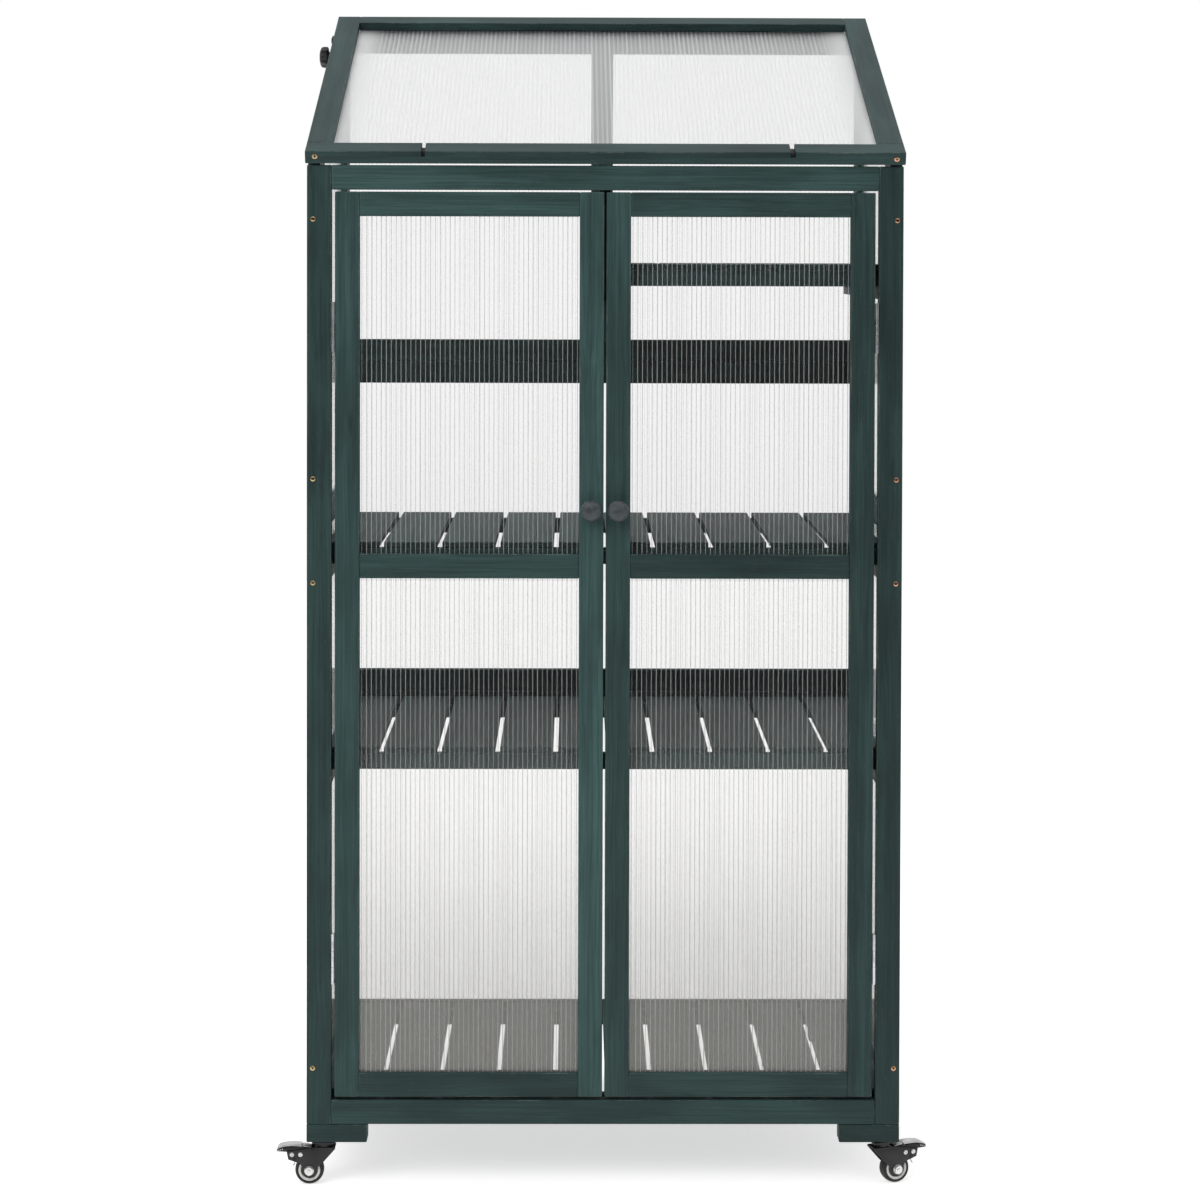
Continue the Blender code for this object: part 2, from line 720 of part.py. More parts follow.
def rear_frame(cabinet, finishes, label, outline, spans_x, spans_z):
    """One frame of the rear wall, from its outline in the side view, and its sheet."""
    origin = (0.0, REAR_FRONT, 0.0)
    bm = bmesh.new()
    add_prism(bm, outline, "X", (-HALF_BODY, HALF_BODY))
    part = part_from(f"{label}_frame", bm, finishes["timber"], cabinet, origin)
    bm = bmesh.new()
    add_windows(bm, spans_x, spans_z)
    cut(part, bm, "windows")
    x = (spans_x[0][0], spans_x[-1][1])
    z = (spans_z[0][0], spans_z[-1][1])
    cut_groove(part, x, z)
    sheet = flat_sheet(f"{label}_sheet", cabinet, finishes["sheet"], x, z)
    sheet.location = origin


def rear_lower(cabinet, finishes):
    """Lower rear frame with a double rail across it."""
    top = REAR_SEAM_HEIGHT - FIT_GAP
    outline = [(0.0, BASE_HEIGHT), (STOCK_THICKNESS, BASE_HEIGHT), (STOCK_THICKNESS, top), (0.0, top)]
    spans_z = [
        (BASE_HEIGHT + STOCK_WIDTH, REAR_MID_SEAM_HEIGHT - STOCK_WIDTH),
        (REAR_MID_SEAM_HEIGHT + STOCK_WIDTH, top - STOCK_WIDTH),
    ]
    spans_x = [(-REAR_OPENING_HALF, REAR_OPENING_HALF)]
    rear_frame(cabinet, finishes, "rear_lower", outline, spans_x, spans_z)


def rear_upper(cabinet, finishes):
    """Upper rear frame with a centre stile, bevelled to the lid's slope."""
    bottom = REAR_SEAM_HEIGHT
    front_top = lid_underside(REAR_FRONT, FIT_GAP)
    rear_top = lid_underside(BODY_DEPTH, FIT_GAP)
    outline = [(0.0, bottom), (STOCK_THICKNESS, bottom), (STOCK_THICKNESS, rear_top), (0.0, front_top)]
    half_stile = STOCK_WIDTH / 2
    spans_x = [(-REAR_OPENING_HALF, -half_stile), (half_stile, REAR_OPENING_HALF)]
    spans_z = [(bottom + STOCK_WIDTH, rear_top - STOCK_WIDTH)]
    rear_frame(cabinet, finishes, "rear_upper", outline, spans_x, spans_z)


# Lid, built flat about its hinge axis: X across, Y along the slope, Z square to it


def lid_spans():
    """The lid frame's window as spans across and along it."""
    front = -lid_front_reach()
    half = LID_WIDTH / 2 - LID_SIDE_RAIL
    along = (front + LID_FRONT_RAIL, front + LID_LENGTH - LID_REAR_RAIL)
    return (-half, half), along


def lid_frame(lid, timber):
    """Four rails round one window, rebated below for the sheet and notched in front for drainage."""
    front = -lid_front_reach()
    bottom = LID_HINGE_DROP
    top = bottom + LID_THICKNESS
    x, along = lid_spans()
    bm = bmesh.new()
    add_box(bm, (-LID_WIDTH / 2, LID_WIDTH / 2), (front, front + LID_LENGTH), (bottom, top))
    part = part_from("lid_frame", bm, timber, lid)
    bm = bmesh.new()
    add_box(bm, x, along, (bottom - LID_THICKNESS, top + LID_THICKNESS))
    cut(part, bm, "window")
    seat = SHEET_SEAT + FIT_GAP
    bm = bmesh.new()
    rebate_top = bottom + LID_SHEET_TOP + FIT_GAP
    add_box(bm, grow(x, seat), grow(along, seat), (bottom - LID_THICKNESS, rebate_top))
    cut(part, bm, "rebate")
    bm = bmesh.new()
    edge = LID_WIDTH / 2
    notches = (
        (LID_NOTCH_LEFT_INSET - edge, LID_NOTCH_LEFT_WIDTH),
        (edge - LID_NOTCH_RIGHT_INSET, LID_NOTCH_RIGHT_WIDTH),
    )
    for middle, width in notches:
        across = (middle - width / 2, middle + width / 2)
        through = (front - JOIN_DEPTH, along[0] + JOIN_DEPTH)
        add_box(bm, across, through, (top - LID_NOTCH_DEPTH, top + JOIN_DEPTH))
    cut(part, bm, "notches")
    cut_stay_hole(part)


def cut_stay_hole(part):
    """The hole for the stay's rivet in the lid's left edge."""
    centre = (-STAY_PIVOT_ALONG_LID, LID_HINGE_DROP + LID_THICKNESS / 2)
    edge = -LID_WIDTH / 2
    ends = (edge - JOIN_DEPTH, edge + STAY_RIVET_DEPTH + JOIN_DEPTH)
    bm = bmesh.new()
    add_cylinder(bm, centre, STAY_RIVET_RADIUS + HOLE_CLEARANCE, "X", ends, SMALL_SIDES)
    cut(part, bm, "stay_hole")


def lid_sheet(lid, material):
    """The lid's sheet in its rebate."""
    x, along = lid_spans()
    top = LID_HINGE_DROP + LID_SHEET_TOP
    bm = bmesh.new()
    add_box(bm, grow(x, SHEET_SEAT), grow(along, SHEET_SEAT), (top - SHEET_THICKNESS, top))
    part_from("lid_sheet", bm, material, lid)


def lid_hinges(cabinet, lid, steel):
    """Two hinges: wall leaves on the rear wall's outer face, lid leaves below the lid."""
    axis_y, axis_z = lid_axis()
    tail = LID_LENGTH - lid_front_reach() - LID_LEAF_TAIL_GAP
    wall_far = LID_HINGE_BACKSET - FIT_GAP
    wall_plate = (-wall_far, -wall_far + LID_LEAF_THICKNESS)
    lid_far = LID_HINGE_DROP - FIT_GAP
    lid_plate = (lid_far - LID_LEAF_THICKNESS, lid_far)
    # Local X faces the rear for the wall leaf and up for the lid leaf; local Z runs to -X for both.
    to_wall = Matrix(((0, 0, -1), (1, 0, 0), (0, -1, 0))).to_euler()
    to_lid = Matrix(((0, 0, -1), (0, 1, 0), (1, 0, 0))).to_euler()
    for label, side in (("left", -1), ("right", 1)):
        x = side * (BODY_WIDTH / 2 - LID_HINGE_INSET) + LID_HINGE_LENGTH / 2
        pin_leaf(
            f"lid_{label}_hinge_wall_leaf", steel, cabinet, (x, axis_y, axis_z), to_wall,
            LID_HINGE_LENGTH, wall_plate, LID_KNUCKLE_RADIUS, LID_PIN_RADIUS, LID_LEAF_REACH,
        )
        tube_leaf(
            f"lid_{label}_hinge_lid_leaf", steel, lid, (x, 0.0, 0.0), to_lid,
            LID_HINGE_LENGTH, lid_plate, LID_KNUCKLE_RADIUS, LID_PIN_RADIUS, tail,
        )


def stay_arm(lid, steel):
    """The slotted stay on its rivet, hanging along local -Z."""
    reach = star_place() - stay_pivot()
    swing = math.atan2(reach.y, -reach.z) - LID_SLOPE
    face = -LID_WIDTH / 2 - FIT_GAP
    place_on_lid = (face, -STAY_PIVOT_ALONG_LID, LID_HINGE_DROP + LID_THICKNESS / 2)
    half = STAY_WIDTH / 2
    tip = half - STAY_LENGTH
    outline = arc((0.0, 0.0), half, 0.0, math.pi, SMALL_SIDES // 2)
    outline += arc((0.0, tip), half, math.pi, 2 * math.pi, SMALL_SIDES // 2)
    bm = bmesh.new()
    add_prism(bm, outline, "X", (-STAY_THICKNESS, 0.0))
    part = part_from("stay_arm", bm, steel, lid, place_on_lid, (swing, 0.0, 0.0))
    slot = STAR_STUD_RADIUS + STAY_SLOT_CLEARANCE
    slot_end = STAY_SLOT_MARGIN + slot - STAY_LENGTH
    outline = arc((0.0, -STAY_SLOT_START), slot, 0.0, math.pi, SMALL_SIDES // 2)
    outline += arc((0.0, slot_end), slot, math.pi, 2 * math.pi, SMALL_SIDES // 2)
    bm = bmesh.new()
    add_prism(bm, outline, "X", (-2 * STAY_THICKNESS, STAY_THICKNESS))
    cut(part, bm, "slot")
    head = -STAY_THICKNESS - STAY_RIVET_HEAD_LENGTH
    shoulder = (head - STAY_THICKNESS) / 2
    profile = [(STAY_RIVET_CROWN_RADIUS, head), (STAY_RIVET_HEAD_RADIUS, shoulder)]
    profile += [(STAY_RIVET_HEAD_RADIUS, -STAY_THICKNESS / 2), (STAY_RIVET_RADIUS, -STAY_THICKNESS / 2)]
    profile.append((STAY_RIVET_RADIUS, STAY_RIVET_DEPTH))
    bm = bmesh.new()
    add_turned(bm, profile, "X", sides=SMALL_SIDES)
    unite(part, bm, "rivet")


def star_outline():
    """The lobed outline of the star knob's head."""
    points = []
    mean = STAR_HEAD_RADIUS - STAR_LOBE_DEPTH / 2
    for index in range(STAR_POINTS):
        angle = 2 * math.pi * index / STAR_POINTS
        radius = mean + STAR_LOBE_DEPTH / 2 * math.cos(STAR_LOBES * angle)
        points.append((radius * math.cos(angle), radius * math.sin(angle)))
    return points


def star_knob(cabinet, plastic):
    """The clamping knob: lobed head, neck, stud and the collar that spaces the stay."""
    axis_y, axis_z = lid_axis()
    offset = star_place()
    place_on_side = (-HALF_BODY, axis_y + offset.y, axis_z + offset.z)
    spacing = LID_WIDTH / 2 - HALF_BODY
    neck = -spacing - FIT_GAP - STAY_THICKNESS - FIT_GAP
    shoulder = neck - STAR_NECK_LENGTH
    profile = [(STAR_NECK_RADIUS, shoulder - JOIN_DEPTH), (STAR_NECK_RADIUS, neck), (STAR_STUD_RADIUS, neck)]
    if spacing > 2 * FIT_GAP:
        profile += [(STAR_STUD_RADIUS, -spacing), (STAR_COLLAR_RADIUS, -spacing)]
        profile += [(STAR_COLLAR_RADIUS, -FIT_GAP), (STAR_STUD_RADIUS, -FIT_GAP)]
    profile.append((STAR_STUD_RADIUS, STAR_STUD_DEPTH))
    bm = bmesh.new()
    add_turned(bm, profile, "X", sides=SMALL_SIDES)
    part = part_from("star_knob", bm, plastic, cabinet, place_on_side)
    bm = bmesh.new()
    add_prism(bm, star_outline(), "X", (shoulder - STAR_HEAD_LENGTH, shoulder))
    unite(part, bm, "head")


def lid_assembly(cabinet, finishes):
    """The lid about its hinge axis, with its sheet, hinges and stay."""
    axis_y, axis_z = lid_axis()
    lid = pivot("lid_axis", (0.0, axis_y, axis_z), cabinet, (LID_SLOPE, 0.0, 0.0))
    lid_frame(lid, finishes["lid timber"])
    lid_sheet(lid, finishes["sheet"])
    lid_hinges(cabinet, lid, finishes["steel"])
    stay_arm(lid, finishes["painted steel"])
    star_knob(cabinet, finishes["plastic"])


# Shelves


def slat_spans(start, end, middle_slats):
    """Spans of the slats between two ends.

    Full slats lie in from both ends, and the middle ones share the rest,
    which is at least half a slat.
    """
    pitch = SLAT_WIDTH + SLAT_GAP
    total = end - start
    outer = max(int((total - SLAT_WIDTH / 2) / pitch / 2), 0)
    spans = []
    for index in range(outer):
        spans.append((start + index * pitch, start + index * pitch + SLAT_WIDTH))
        spans.append((end - index * pitch - SLAT_WIDTH, end - index * pitch))
    rest = total - 2 * outer * pitch
    width = (rest - (middle_slats - 1) * SLAT_GAP) / middle_slats
    for index in range(middle_slats):
        low = start + outer * pitch + index * (width + SLAT_GAP)
        spans.append((low, low + width))
    return sorted(spans)


def slat_outline(span):
    """A slat's end view, let into its rails, with rounded upper edges."""
    low, high = span
    radius = min(SLAT_ROUND, SLAT_THICKNESS / 2)
    level = -radius
    outline = [(low, -SLAT_THICKNESS - JOIN_DEPTH), (high, -SLAT_THICKNESS - JOIN_DEPTH)]
    outline += arc((high - radius, level), radius, 0.0, math.pi / 2, CORNER_STEPS)
    outline += arc((low + radius, level), radius, math.pi / 2, math.pi, CORNER_STEPS)
    return outline


def slatted_shelf(name, cabinet, timber, top, start, end, middle_slats):
    """A shelf: front-to-back slats on a front and a rear rail."""
    inset = SLAT_OVERHANG
    rail_z = (-SLAT_THICKNESS - SHELF_RAIL_HEIGHT, -SLAT_THICKNESS)
    ends = (start + inset, end - inset)
    bm = bmesh.new()
    add_box(bm, ends, (SHELF_FRONT + inset, SHELF_FRONT + inset + SHELF_RAIL_DEPTH), rail_z)
    add_box(bm, ends, (SHELF_REAR - inset - SHELF_RAIL_DEPTH, SHELF_REAR - inset), rail_z)
    part = part_from(name, bm, timber, cabinet, (0.0, 0.0, top))
    bm = bmesh.new()
    for span in slat_spans(start, end, middle_slats):
        add_prism(bm, slat_outline(span), "Y", (SHELF_FRONT, SHELF_REAR))
    unite(part, bm, "slats")


def half_shelf_support(cabinet, timber):
    """Hanger behind the meeting stiles with a bearer under the half shelf's inner end."""
    seat = HALF_SHELF_TOP - SLAT_THICKNESS - SHELF_RAIL_HEIGHT - FIT_GAP
    inner = HALF_SHELF_START - FIT_GAP
    left = inner - HANGER_WIDTH
    front = STOCK_THICKNESS + FIT_GAP
    across = (left - JOIN_DEPTH, left + BEARER_WIDTH)
    bm = bmesh.new()
    add_box(bm, across, (front + JOIN_DEPTH, SIDE_REAR), (seat - BEARER_HEIGHT, seat))
    part = part_from("half_shelf_support", bm, timber, cabinet)
    bm = bmesh.new()
    bottom = seat - BEARER_HEIGHT - HANGER_TAIL
    add_box(bm, (left, inner), (front, front + HANGER_DEPTH), (bottom, OPENING_TOP + HANGER_LAP))
    unite(part, bm, "hanger")


def door_catch(cabinet, plastic):
    """Double magnetic catch between the doors' backs and the middle shelf's front rail."""
    rail_middle = MIDDLE_SHELF_TOP - SLAT_THICKNESS - SHELF_RAIL_HEIGHT / 2
    depth = (STOCK_THICKNESS + FIT_GAP, SHELF_FRONT + SLAT_OVERHANG - FIT_GAP)
    bm = bmesh.new()
    add_box(bm, (-CATCH_WIDTH / 2, CATCH_WIDTH / 2), depth, (-CATCH_HEIGHT / 2, CATCH_HEIGHT / 2))
    part_from("door_catch", bm, plastic, cabinet, (0.0, 0.0, rail_middle))


def shelving(cabinet, finishes):
    """All shelves, the half shelf's support and the door catch."""
    timber = finishes["timber"]
    for name, top in SHELF_TOPS.items():
        slatted_shelf(name, cabinet, timber, top, -SHELF_HALF, SHELF_HALF, middle_slats=2)
    slatted_shelf("half_shelf", cabinet, timber, HALF_SHELF_TOP, HALF_SHELF_START, SHELF_HALF, middle_slats=1)
    half_shelf_support(cabinet, timber)
    door_catch(cabinet, finishes["plastic"])


# Feet and castors


def foot_block(name, cabinet, timber, side, front):
    """A softened block under one corner."""
    height = FOOT_HEIGHT - FIT_GAP
    bm = bmesh.new()
    add_box(bm, (0.0, -side * FOOT_WIDTH), (front, front + FOOT_DEPTH), (0.0, height))
    part = part_from(name, bm, timber, cabinet, (side * HALF_BODY, 0.0, CASTOR_HEIGHT))
    bevel = part.modifiers.new("soft edges", "BEVEL")
    bevel.width = FOOT_BEVEL
    bevel.segments = 1


def castor_plate_mesh(steel):
    """Top plate with its ball race and kingpin."""
    top = CASTOR_HEIGHT - FIT_GAP
    underside = top - PLATE_THICKNESS
    half = PLATE_SIDE / 2
    inner = half - PLATE_CORNER
    outline = []
    for quarter, (sx, sy) in enumerate(((1, 1), (-1, 1), (-1, -1), (1, -1))):
        start = quarter * math.pi / 2
        outline += arc((sx * inner, sy * inner), PLATE_CORNER, start, start + math.pi / 2, CORNER_STEPS)
    bm = bmesh.new()
    add_prism(bm, outline, "Z", (underside, top))
    plate = part_from("castor_plate_pattern", bm, steel, None)
    race_bottom = underside - RACE_HEIGHT
    crown_under = FORK_TOP - FORK_SHEET
    head_top = crown_under - FIT_GAP
    profile = [(KINGPIN_HEAD_RADIUS, head_top - KINGPIN_HEAD_HEIGHT), (KINGPIN_HEAD_RADIUS, head_top)]
    profile += [(KINGPIN_RADIUS, head_top), (KINGPIN_RADIUS, race_bottom), (RACE_LOWER_RADIUS, race_bottom)]
    profile += [(RACE_RADIUS, race_bottom + RACE_ROUND), (RACE_RADIUS, underside + PLATE_THICKNESS / 2)]
    bm = bmesh.new()
    add_turned(bm, profile, "Z")
    unite(plate, bm, "race")
    return plate


def fork_outline():
    """Side view of a fork cheek as x and z."""
    axle = (WHEEL_TRAIL, WHEEL_RADIUS)
    outline = [
        (-FORK_HEEL, FORK_TOP),
        (-FORK_HEEL, FORK_TOP - FORK_SHEET),
        (FORK_WAIST_X, FORK_TOP - FORK_WAIST_DROP),
    ]
    outline += arc(axle, FORK_EYE_RADIUS, math.pi, 2 * math.pi, SMALL_SIDES // 2)
    outline += [
        (FORK_BROW_X, FORK_TOP - FORK_BROW_DROP),
        (FORK_TOE - FORK_SHEET, FORK_TOP - FORK_TOE_DROP - FORK_TOE_HEIGHT),
        (FORK_TOE, FORK_TOP - FORK_TOE_DROP),
        (FORK_CROWN_REACH, FORK_TOP),
    ]
    return outline


def castor_fork(steel):
    """Fork pressed from sheet: two cheeks under a crown, with the axle and its nuts."""
    bm = bmesh.new()
    crown = (FORK_TOP - FORK_SHEET, FORK_TOP)
    inset = FIT_GAP
    across = (-FORK_INNER - inset, FORK_INNER + inset)
    add_box(bm, (inset - FORK_HEEL, FORK_CROWN_REACH - inset), across, (crown[0], crown[1] - inset))
    fork = part_from("castor_fork_pattern", bm, steel, None)
    bm = bmesh.new()
    outline = fork_outline()
    add_prism(bm, outline, "Y", (FORK_INNER, FORK_OUTER))
    add_prism(bm, outline, "Y", (-FORK_OUTER, -FORK_INNER))
    unite(fork, bm, "cheeks")
    axle = (WHEEL_TRAIL, WHEEL_RADIUS)
    middle = (FORK_INNER + FORK_OUTER) / 2
    bm = bmesh.new()
    add_cylinder(bm, axle, AXLE_RADIUS, "Y", (-middle, middle))
    unite(fork, bm, "axle")
    nut_radius = AXLE_NUT_FLATS / 2 / math.cos(math.pi / NUT_SIDES)
    bm = bmesh.new()
    for side in (-1, 1):
        ends = (side * (FORK_OUTER - inset), side * (FORK_OUTER + AXLE_NUT_LENGTH))
        add_cylinder(bm, axle, nut_radius, "Y", ends, NUT_SIDES)
    unite(fork, bm, "nuts")
    bm = bmesh.new()
    through = (crown[0] - FORK_SHEET, 2 * FORK_TOP)
    add_cylinder(bm, (0.0, 0.0), KINGPIN_RADIUS + HOLE_CLEARANCE, "Z", through, SMALL_SIDES)
    cut(fork, bm, "kingpin_hole")
    bm = bmesh.new()
    hole = PEDAL_PIN_RADIUS + PIN_CLEARANCE
    reach = 2 * FORK_OUTER
    add_cylinder(bm, (PEDAL_PIVOT_X, PEDAL_PIVOT_HEIGHT), hole, "Y", (-reach, reach), SMALL_SIDES)
    cut(fork, bm, "pedal_hole")
    return fork


def castor_wheel(rubber):
    """Wheel about its axle, standing on a flat of its tread."""
    half = WHEEL_WIDTH / 2
    tread = WHEEL_RADIUS / math.cos(math.pi / WHEEL_SIDES)
    shoulder = tread - WHEEL_TREAD_BEVEL
    profile = [(shoulder, -half), (tread, WHEEL_TREAD_BEVEL - half)]
    profile += [(tread, half - WHEEL_TREAD_BEVEL), (shoulder, half)]
    bm = bmesh.new()
    add_turned(bm, profile, "Y", sides=WHEEL_SIDES, turn=-math.pi / 2 + math.pi / WHEEL_SIDES)
    wheel = part_from("castor_wheel_pattern", bm, rubber, None)
    bm = bmesh.new()
    add_cylinder(bm, (0.0, 0.0), AXLE_RADIUS + AXLE_CLEARANCE, "Y", (-WHEEL_WIDTH, WHEEL_WIDTH))
    cut(wheel, bm, "bore")
    return wheel


def castor_pedal(plastic):
    """Brake pedal about its pin, which runs between the fork's cheeks."""
    half = FORK_INNER - PEDAL_SIDE_GAP
    start = PEDAL_START - PEDAL_PIVOT_X
    end = PEDAL_END - PEDAL_PIVOT_X
    under = PEDAL_RISE
    top = under + PEDAL_THICKNESS
    nose = PEDAL_ROUND
    outline = [(start, top - 2 * nose), (start, top - nose)]
    outline += [(start + PEDAL_CREST_INSET, top), (end - PEDAL_CREST_INSET, top)]
    outline += [(end - nose, top - nose), (end, under + nose), (end - nose / 2, under)]
    outline.append((0.0, under - nose / 2))
    bm = bmesh.new()
    add_prism(bm, outline, "Y", (-half, half))
    pedal = part_from("castor_pedal_pattern", bm, plastic, None)
    reach = FORK_OUTER + FIT_GAP
    hub = half - JOIN_DEPTH
    profile = [(PEDAL_PIN_RADIUS, -reach), (PEDAL_PIN_RADIUS, -hub), (PEDAL_HUB_RADIUS, -hub)]
    profile += [(PEDAL_HUB_RADIUS, hub), (PEDAL_PIN_RADIUS, hub), (PEDAL_PIN_RADIUS, reach)]
    bm = bmesh.new()
    add_turned(bm, profile, "Y", sides=SMALL_SIDES)
    unite(pedal, bm, "pin")
    return pedal


def baked_mesh(pattern):
    """The pattern's finished mesh; the pattern and its helpers are then removed."""
    graph = bpy.context.evaluated_depsgraph_get()
    mesh = bpy.data.meshes.new_from_object(pattern.evaluated_get(graph), depsgraph=graph)
    for helper in pattern.children:
        bpy.data.objects.remove(helper)
    bpy.data.objects.remove(pattern)
    return mesh


def castor(cabinet, meshes, label, location, turn):
    """One castor: fixed plate, swivelling fork, wheel and pedal, trailing along local X."""
    mount = pivot(f"castor_{label}_mount", location, cabinet)
    place(f"castor_{label}_plate", meshes["plate"], mount)
    swivel = pivot(f"castor_{label}_swivel", (0.0, 0.0, 0.0), mount, (0.0, 0.0, turn))
    place(f"castor_{label}_fork", meshes["fork"], swivel)
    place(f"castor_{label}_wheel", meshes["wheel"], swivel, (WHEEL_TRAIL, 0.0, WHEEL_RADIUS))
    place(f"castor_{label}_pedal", meshes["pedal"], swivel, (PEDAL_PIVOT_X, 0.0, PEDAL_PIVOT_HEIGHT))


def feet_and_castors(cabinet, finishes):
    """Four foot blocks, each on a castor."""
    patterns = {
        "plate": castor_plate_mesh(finishes["painted steel"]),
        "fork": castor_fork(finishes["painted steel"]),
        "wheel": castor_wheel(finishes["rubber"]),
        "pedal": castor_pedal(finishes["plastic"]),
    }
    meshes = {kind: baked_mesh(pattern) for kind, pattern in patterns.items()}
    x = HALF_BODY - CASTOR_INSET_X
    for row, block_front in (("front", 0.0), ("rear", BODY_DEPTH - FOOT_DEPTH)):
        y = block_front + FOOT_DEPTH / 2
        for label, side in (("left", -1), ("right", 1)):
            foot_block(f"foot_block_{row}_{label}", cabinet, finishes["timber"], side, block_front)
            turn = 0.0 if side > 0 else math.pi
            if (row, label) == ("front", "right"):
                turn = CASTOR_TURN
            castor(cabinet, meshes, f"{row}_{label}", (side * x, y, 0.0), turn)


# Whole greenhouse


def clear_scene():
    """Remove whatever the scene holds."""
    for item in list(bpy.data.objects):
        bpy.data.objects.remove(item)


def main():
    """Model the whole greenhouse."""
    clear_scene()
    finishes = {
        "timber": stained_timber("stained timber", (0.033, 0.055, 0.050)),
        "door timber": stained_timber("stained door timber", (0.034, 0.065, 0.060)),
        "lid timber": stained_timber("stained lid timber", (0.045, 0.075, 0.070)),
        "sheet": clear_sheet("glazing sheet"),
        "steel": bright_steel("bright steel"),
        "painted steel": painted_steel("painted steel"),
        "plastic": dark_plastic("dark plastic"),
        "rubber": dark_rubber("dark rubber"),
    }
    cabinet = pivot("cabinet", (0.0, FRONT_FACE_Y, 0.0), None)
    front_frame(cabinet, finishes["timber"])
    for label, side in (("left", -1), ("right", 1)):
        hung_door(cabinet, finishes, label, side)
        frame = side_frame(cabinet, finishes, label, side)
        if side < 0:
            cut_star_hole(frame)
    rear_lower(cabinet, finishes)
    rear_upper(cabinet, finishes)
    lid_assembly(cabinet, finishes)
    shelving(cabinet, finishes)
    feet_and_castors(cabinet, finishes)


main()
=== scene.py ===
"""Dressed model of a portable timber mini greenhouse on castors.

Metres, +Z up, the doors face -Y. Boards, twin-wall sheets, turned knobs, pressed castors
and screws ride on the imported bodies; each sub-assembly is a class of its own.
"""

import logging
import math
from collections.abc import Iterable
from dataclasses import dataclass, field
from enum import Enum

import bmesh
import bpy
from mathutils import Matrix, Vector


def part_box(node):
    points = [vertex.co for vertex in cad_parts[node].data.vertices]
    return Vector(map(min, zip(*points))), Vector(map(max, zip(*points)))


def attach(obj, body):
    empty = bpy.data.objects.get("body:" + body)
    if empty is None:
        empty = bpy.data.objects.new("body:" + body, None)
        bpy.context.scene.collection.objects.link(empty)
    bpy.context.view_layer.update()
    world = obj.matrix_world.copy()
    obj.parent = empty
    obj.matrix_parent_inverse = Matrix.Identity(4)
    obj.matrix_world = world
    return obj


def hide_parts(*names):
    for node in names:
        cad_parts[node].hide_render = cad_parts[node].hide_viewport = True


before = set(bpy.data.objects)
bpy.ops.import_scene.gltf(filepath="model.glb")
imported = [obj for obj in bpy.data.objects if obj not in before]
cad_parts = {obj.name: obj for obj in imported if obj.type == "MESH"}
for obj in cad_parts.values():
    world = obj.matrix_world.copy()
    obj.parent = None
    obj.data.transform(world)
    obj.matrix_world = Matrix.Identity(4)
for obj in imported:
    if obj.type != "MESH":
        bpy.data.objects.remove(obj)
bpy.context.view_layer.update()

LOG = logging.getLogger("greenhouse")

# Sizes that several sub-assemblies share. STOCK and THICKNESS are the width and the thickness of
# the frames' boards. A sheet lies SHEET_DEPTH behind their outer faces and reaches SHEET_BITE into
# their grooves. LID_FOOT is the lid's lowest edge: its place behind FRONT_FACE, and its height.
FRONT_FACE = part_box("front_post_left")[0][1]
STOCK = 0.032
THICKNESS = 0.016
FIT_GAP = 0.0003
SHEET_THICKNESS = 0.004
SHEET_DEPTH = 0.006
SHEET_BITE = 0.006
SEAT = SHEET_BITE + FIT_GAP
GROOVE = (SHEET_DEPTH - FIT_GAP, SHEET_DEPTH + SHEET_THICKNESS + FIT_GAP)
SLOPE = math.radians(21.33)
LID_FOOT = (-0.0038, 1.3405)

Socket = bpy.types.NodeSocket
Colour = tuple[float, float, float]
Pair = tuple[float, float]
Faces = list[bmesh.types.BMFace]


class Slot(Enum):
    """Material slots of the record."""

    TIMBER = "timber"
    DOOR_TIMBER = "door_timber"
    LID_TIMBER = "lid_timber"
    TWINWALL = "twinwall"
    HINGE_STEEL = "hinge_steel"
    BLACK_STEEL = "black_steel"
    DARK_PLASTIC = "dark_plastic"
    PEDAL_PLASTIC = "pedal_plastic"
    WHEEL_RUBBER = "wheel_rubber"


# Node trees


